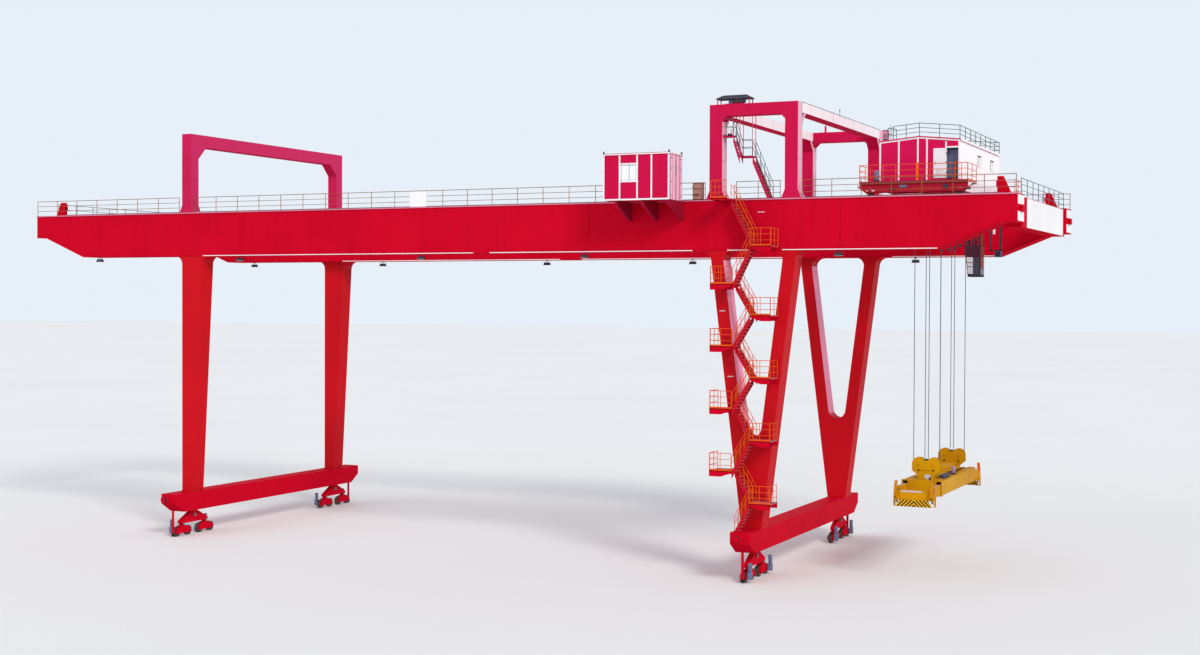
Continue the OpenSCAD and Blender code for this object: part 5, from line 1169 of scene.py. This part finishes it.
# Hoist ropes, and the turns under the sheaves
b = Build(ROPE)
for s, t in PAIRS:
    for u in SIDES:
        x = SPX + t * SHEAVE_X + u * ROPE_R
        for k in range(6):
            z0, z1 = (SHEAVE_Z + (ROPE_TOP - SHEAVE_Z) * (k + d) / 6 for d in (0, 1))
            b.tube((x, s * BLOCK_Y, z0), (x, s * BLOCK_Y, z1), 0.01, 10)
o = b.make("hoist_rope_falls", None, "rope_steel", "hoist_ropes")
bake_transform(o)

b = Build(ROPE, IRON, STEEL, SPREADER)
groove = [(-0.065, 0.045), (-0.034, 0.05), (-0.03, 0.1), (-0.018, 0.1), (-0.018, 0.13), (-0.03, 0.148), (-0.03, 0.176),
          (-0.026, 0.18), (-0.012, 0.162), (0.012, 0.162), (0.026, 0.18), (0.03, 0.176), (0.03, 0.148), (0.018, 0.13),
          (0.018, 0.1), (0.03, 0.1), (0.034, 0.05), (0.065, 0.045)]
for s, t in PAIRS:
    c = (SPX + t * SHEAVE_X, s * BLOCK_Y, SHEAVE_Z)
    b.use(1).lathe(groove, c, (0, 1, 0), 48)
    b.use(0).path([(c[0] + ROPE_R * math.cos(a), c[1], c[2] + ROPE_R * math.sin(a))
                   for a in np.linspace(0, -math.pi, 19)], 0.01)
    for u in SIDES:
        y = c[1] + u * PLATE_Y
        b.use(3).lathe([(0, 0.038), (0.01, 0.038), (0.014, 0.032)], (c[0], y, c[2]), (0, u, 0), 24)
        b.box((c[0] - 0.06, y, c[2] - 0.058), (c[0] + 0.06, y + u * 0.008, c[2] - 0.036))
        b.bolts([(c[0] + d, y + u * 0.008, c[2] - 0.047) for d in (-0.045, 0.045)], (0, u, 0), 0.009, 0.008)
b.make("grooved_sheaves", "spreader", "wheel_steel", "sheaves")

# Head block and main frame fittings
b = Build(SPREADER, STEEL, WHITE, DARK, LILAC, RUBBER, PALE)
for s in SIDES:
    for u in SIDES:
        y = s * BLOCK_Y + u * PLATE_Y
        b.use(1).bolts([(SPX + x, y, z) for x in (-0.2, -0.12, 0.12, 0.2) for z in (2.64, 2.72, 2.8, 2.88)], (0, u, 0),
                       0.011, 0.009)
        for t in SIDES:
            b.use(0).lathe([(0, 0.032), (0.006, 0.032), (0.006, 0.045), (0, 0.05)],
                           (SPX + t * SHEAVE_X, y, SHEAVE_Z - 0.19), (0, u, 0), 24)
    for x in (-0.16, 0, 0.16):
        b.use(0).bar(SPX + x - 0.006, SPX + x + 0.006, s * BLOCK_Y, 0.066, 3.02, 3.16)
for y in np.linspace(-1.35, 1.35, 7):
    for t in SIDES:
        b.use(0).prism([(SPX + t * 0.166, 3.03), (SPX + t * 0.24, 3.03), (SPX + t * 0.166, 3.12)],
                       "y", y - 0.006, y + 0.006)
    b.use(1).bolts([(SPX + t * 0.225, y + 0.1, 3.03) for t in SIDES], UP, 0.012, 0.012)
b.use(6).prism([(14.43, 2.96), (14.5, 2.9), (14.58, 2.91), (14.64, 2.97), (14.6, 3.04), (14.46, 3.05)],
               "y", -1.766, -1.761)
b.use(3).prism([(14.58, 2.96), (14.64, 2.98), (14.6, 2.8), (14.56, 2.8)], "y", -1.772, -1.766)
for s in SIDES:
    b.post(SPX, 0.028, s * BLOCK_Y, 0.055, 3.22, 3.5)
b.use(4)
motor(b, (14.93, -0.1, 2.955), UP, 0.055, 0.2, 28)
b.use(3).box((14.86, -0.18, 2.91), (15.0, -0.02, 2.96))
b.box((14.84, -1.6, 2.915), (14.98, -0.75, 3.02))
for y in (-1.45, -1.15, -0.9):
    b.bar(14.979, 14.984, y, 0.1, 2.925, 3.0)
b.use(0)
for y in (-1.65, -0.7):
    b.bar(14.85, 14.96, y, 0.02, 2.905, 2.93)
for t in SIDES:
    for s in SIDES:
        x, y = SPX + t * TUBE_X, s * 2.275
        for a, c in (((x - 0.1, 2.465), (x + 0.1, 2.48)), ((x - 0.1, 2.91), (x + 0.1, 2.925)),
                     ((x - 0.105, 2.465), (x - 0.09, 2.925)), ((x + 0.09, 2.465), (x + 0.105, 2.925))):
            b.use(0).box((a[0], y - 0.07 * (s > 0), a[1]), (c[0], y + 0.07 * (s < 0), c[1]))
        b.use(1).bolts([(x + t * 0.105, y - s * 0.035, z) for z in (2.52, 2.62, 2.78, 2.88)], (t, 0, 0), 0.01, 0.008)
    for y in np.linspace(-1.9, 1.9, 9):
        b.use(0).beam((SPX + t * 0.592, y, 2.49), (SPX + t * 0.592, y, 2.9), 0.01, 0.012, ALONG_X)
    b.use(5).path(rounded([(SPX + t * 0.3, -0.3, 2.93), (SPX + t * 0.3, 0.1, 2.98), (SPX + t * 0.3, 0.5, 2.93),
                           (SPX + t * 0.3, 1.5, 2.925), (SPX + t * 0.3, 2.05, 2.925)], 0.08), 0.014, 10)
for y in (-1.1, 1.1):
    b.use(0).lathe([(-0.41, 0.045), (-0.4, 0.05), (0.4, 0.05), (0.41, 0.045)], (SPX, y, 2.7), ALONG_X, 24)
b.make("spreader_fittings", "spreader", "spreader_yellow", bevel=0.0015)


# Telescopic ends: stiffeners, wear strips, corner locks, skirt lips
def end_fittings(s):
    b = Build(CHEVRON, STEEL, PALE, RUBBER, SPREADER)
    for t in SIDES:
        x = SPX + t * TUBE_X
        b.use(2).box((x - 0.055, s * 2.3, 2.808), (x - 0.03, s * 2.98, 2.811))
        b.use(2).box((x + 0.03, s * 2.3, 2.808), (x + 0.055, s * 2.98, 2.811))
        for y in (2.45, 2.72):
            b.use(4).beam((x + t * 0.068, s * y, 2.52), (x + t * 0.068, s * y, 2.79), 0.008, 0.01, ALONG_X)
        b.prism([(s * 3.0, 2.71), (s * 2.86, 2.71), (s * 3.0, 2.8)], "x", x - 0.008, x + 0.008)
        c = (SPX + t * 0.52, s * 3.1)
        b.use(1).lathe([(0.0, 0.012), (0.004, 0.02), (0.034, 0.034), (0.04, 0.034), (0.044, 0.022), (0.075, 0.022),
                        (0.078, 0.04), (0.09, 0.044)], (c[0], c[1], 2.33), UP, 28)
        b.use(1).lathe([(0, 0.055), (0.012, 0.055), (0.016, 0.045), (0.03, 0.03)], (c[0], c[1], 2.71), UP, 24)
        b.use(4).box((c[0] - 0.1, c[1] - 0.012, 2.71), (c[0], c[1] + 0.012, 2.735))
        b.use(1).bolts([(SPX + t * HINGE_X + u * 0.041, s * HINGE_Y, HINGE_Z) for u in SIDES], (t, 0, 0), 0.004, 0.001)
        for z in (2.28, 2.36, 2.44):
            b.use(1).bolts([(SPX + t * 0.606, s * y, z) for y in (3.04, 3.16)], (t, 0, 0), 0.009, 0.006)
    b.use(2).box((14.1, s * 3.201, 2.66), (14.72, s * 3.204, 2.705))
    b.use(4)
    for x in np.linspace(-0.36, 0.36, 5):
        b.prism([(s * 3.0, 2.43), (s * 3.19, 2.43), (s * 3.19, 2.26)], "x", SPX + x - 0.006, SPX + x + 0.006)
    b.use(0).slab(SPX, 0.54, s * 3.19, s * 3.224, 2.238, 2.25)
    return b


end_fittings(-1).make("front_end_fittings", "front_end", "spreader_yellow", bevel=0.001)
end_fittings(1).make("rear_end_fittings", "rear_end", "spreader_yellow", bevel=0.001)


# Corner flippers
def flipper(sx, sy):
    b = Build(GOLD if sy < 0 else ORANGE, STEEL)
    x, y, z = SPX + sx * HINGE_X, HINGE_Y, HINGE_Z
    blade = [(0.025, 0), (0.025, 0.1), (0.024, 0.16), (0.012, 0.2), (-0.03, 0.29), (-0.07, 0.38), (-0.085, 0.425),
             (-0.11, 0.43), (-0.11, 0.4), (-0.088, 0.36), (-0.048, 0.27), (-0.012, 0.19), (-0.006, 0.15),
             (-0.006, 0.03), (-0.02, 0)]
    rib = [(-0.006, 0.02), (-0.006, 0.15), (-0.048, 0.27), (-0.088, 0.36), (-0.11, 0.36), (-0.03, 0.14), (-0.028, 0.02)]
    skin = [(0.026, 0.09), (0.025, 0.16), (0.013, 0.2), (-0.029, 0.29), (-0.069, 0.38), (-0.084, 0.425), (-0.09, 0.42),
            (-0.075, 0.375), (-0.036, 0.287), (0.004, 0.197), (0.014, 0.16), (0.015, 0.09)]
    for line, w in ((blade, 0.03), (rib, 0.012), (skin, 0.046)):
        b.prism([(sy * (y + p), z + q) for p, q in line], "x", x - w, x + w)
    b.lathe([(-0.03, 0.03), (-0.026, 0.034), (0.026, 0.034), (0.03, 0.03)], (x, sy * y, z), ALONG_X, 32)
    b.use(1).lathe([(-0.051, 0.016), (-0.048, 0.0198), (0.048, 0.0198), (0.051, 0.016)], (x, sy * y, z), ALONG_X, 24)
    return b


for name, sx, sy, body in (("front_left", -1, -1, "flipper_fl"), ("front_right", 1, -1, "flipper_fr"),
                           ("rear_left", -1, 1, "flipper_rl"), ("rear_right", 1, 1, "flipper_rr")):
    flipper(sx, sy).make(name + "_guide_arm", body, "flipper_orange", name + "_flipper", bevel=0.003)

# Floor and light
mesh_floor = bpy.data.meshes.new("floor")
mesh_floor.from_pydata([(-400, -400, 0), (400, -400, 0), (400, 400, 0), (-400, 400, 0)], [], [(0, 1, 2, 3)])
floor = bpy.data.objects.new("floor", mesh_floor)
bpy.context.scene.collection.objects.link(floor)
fm = Nodes("floor_finish")
tone = fm.ramp(fm.noise(0.05, 3), 0.2, 0.8)
floor.data.materials.append(fm.surface(fm.mix(tone, (237, 237, 235), (232, 232, 230)), 0.9))

scene = bpy.context.scene
scene.view_settings.view_transform = "Standard"
world = bpy.data.worlds.new("sky")
scene.world = world
world.use_nodes = True
wt = world.node_tree
bg = wt.nodes["Background"]
bg.inputs["Color"].default_value = (0.86, 0.91, 1.0, 1)
bg.inputs["Strength"].default_value = 0.72
back = wt.nodes.new("ShaderNodeBackground")
back.inputs["Color"].default_value = (0.80, 0.87, 0.94, 1)
back.inputs["Strength"].default_value = 1.0
path = wt.nodes.new("ShaderNodeLightPath")
mixer = wt.nodes.new("ShaderNodeMixShader")
wt.links.new(path.outputs["Is Camera Ray"], mixer.inputs[0])
wt.links.new(bg.outputs[0], mixer.inputs[1])
wt.links.new(back.outputs[0], mixer.inputs[2])
wt.links.new(mixer.outputs[0], wt.nodes["World Output"].inputs["Surface"])


def sun(name, strength, angle, direction, colour=(1, 1, 1)):
    light = bpy.data.lights.new(name, "SUN")
    light.energy = strength
    light.angle = math.radians(angle)
    light.color = colour
    o = bpy.data.objects.new(name, light)
    o.rotation_euler = Vector(direction).to_track_quat("-Z", "Y").to_euler()
    scene.collection.objects.link(o)


sun("key", 1.85, 16, (-0.7, 0.54, -0.6), (1.0, 0.97, 0.93))
sun("fill", 0.4, 40, (0.5, 0.7, -0.3), (0.9, 0.95, 1.0))

# Camera, fitted to the photograph
cam = bpy.data.cameras.new("camera")
cam.sensor_width = 36
cam.lens = 48.72
cam.clip_end = 900
camera = bpy.data.objects.new("camera", cam)
yaw, pitch, roll = (math.radians(a) for a in (24.962, -0.963, 0.208))
camera.rotation_euler = (Matrix.Rotation(yaw, 4, "Z") @ Matrix.Rotation(math.pi / 2 + pitch, 4, "X")
                         @ Matrix.Rotation(roll, 4, "Z")).to_euler()
camera.location = (26.0758, -49.76, 8.21)
scene.collection.objects.link(camera)
scene.camera = camera
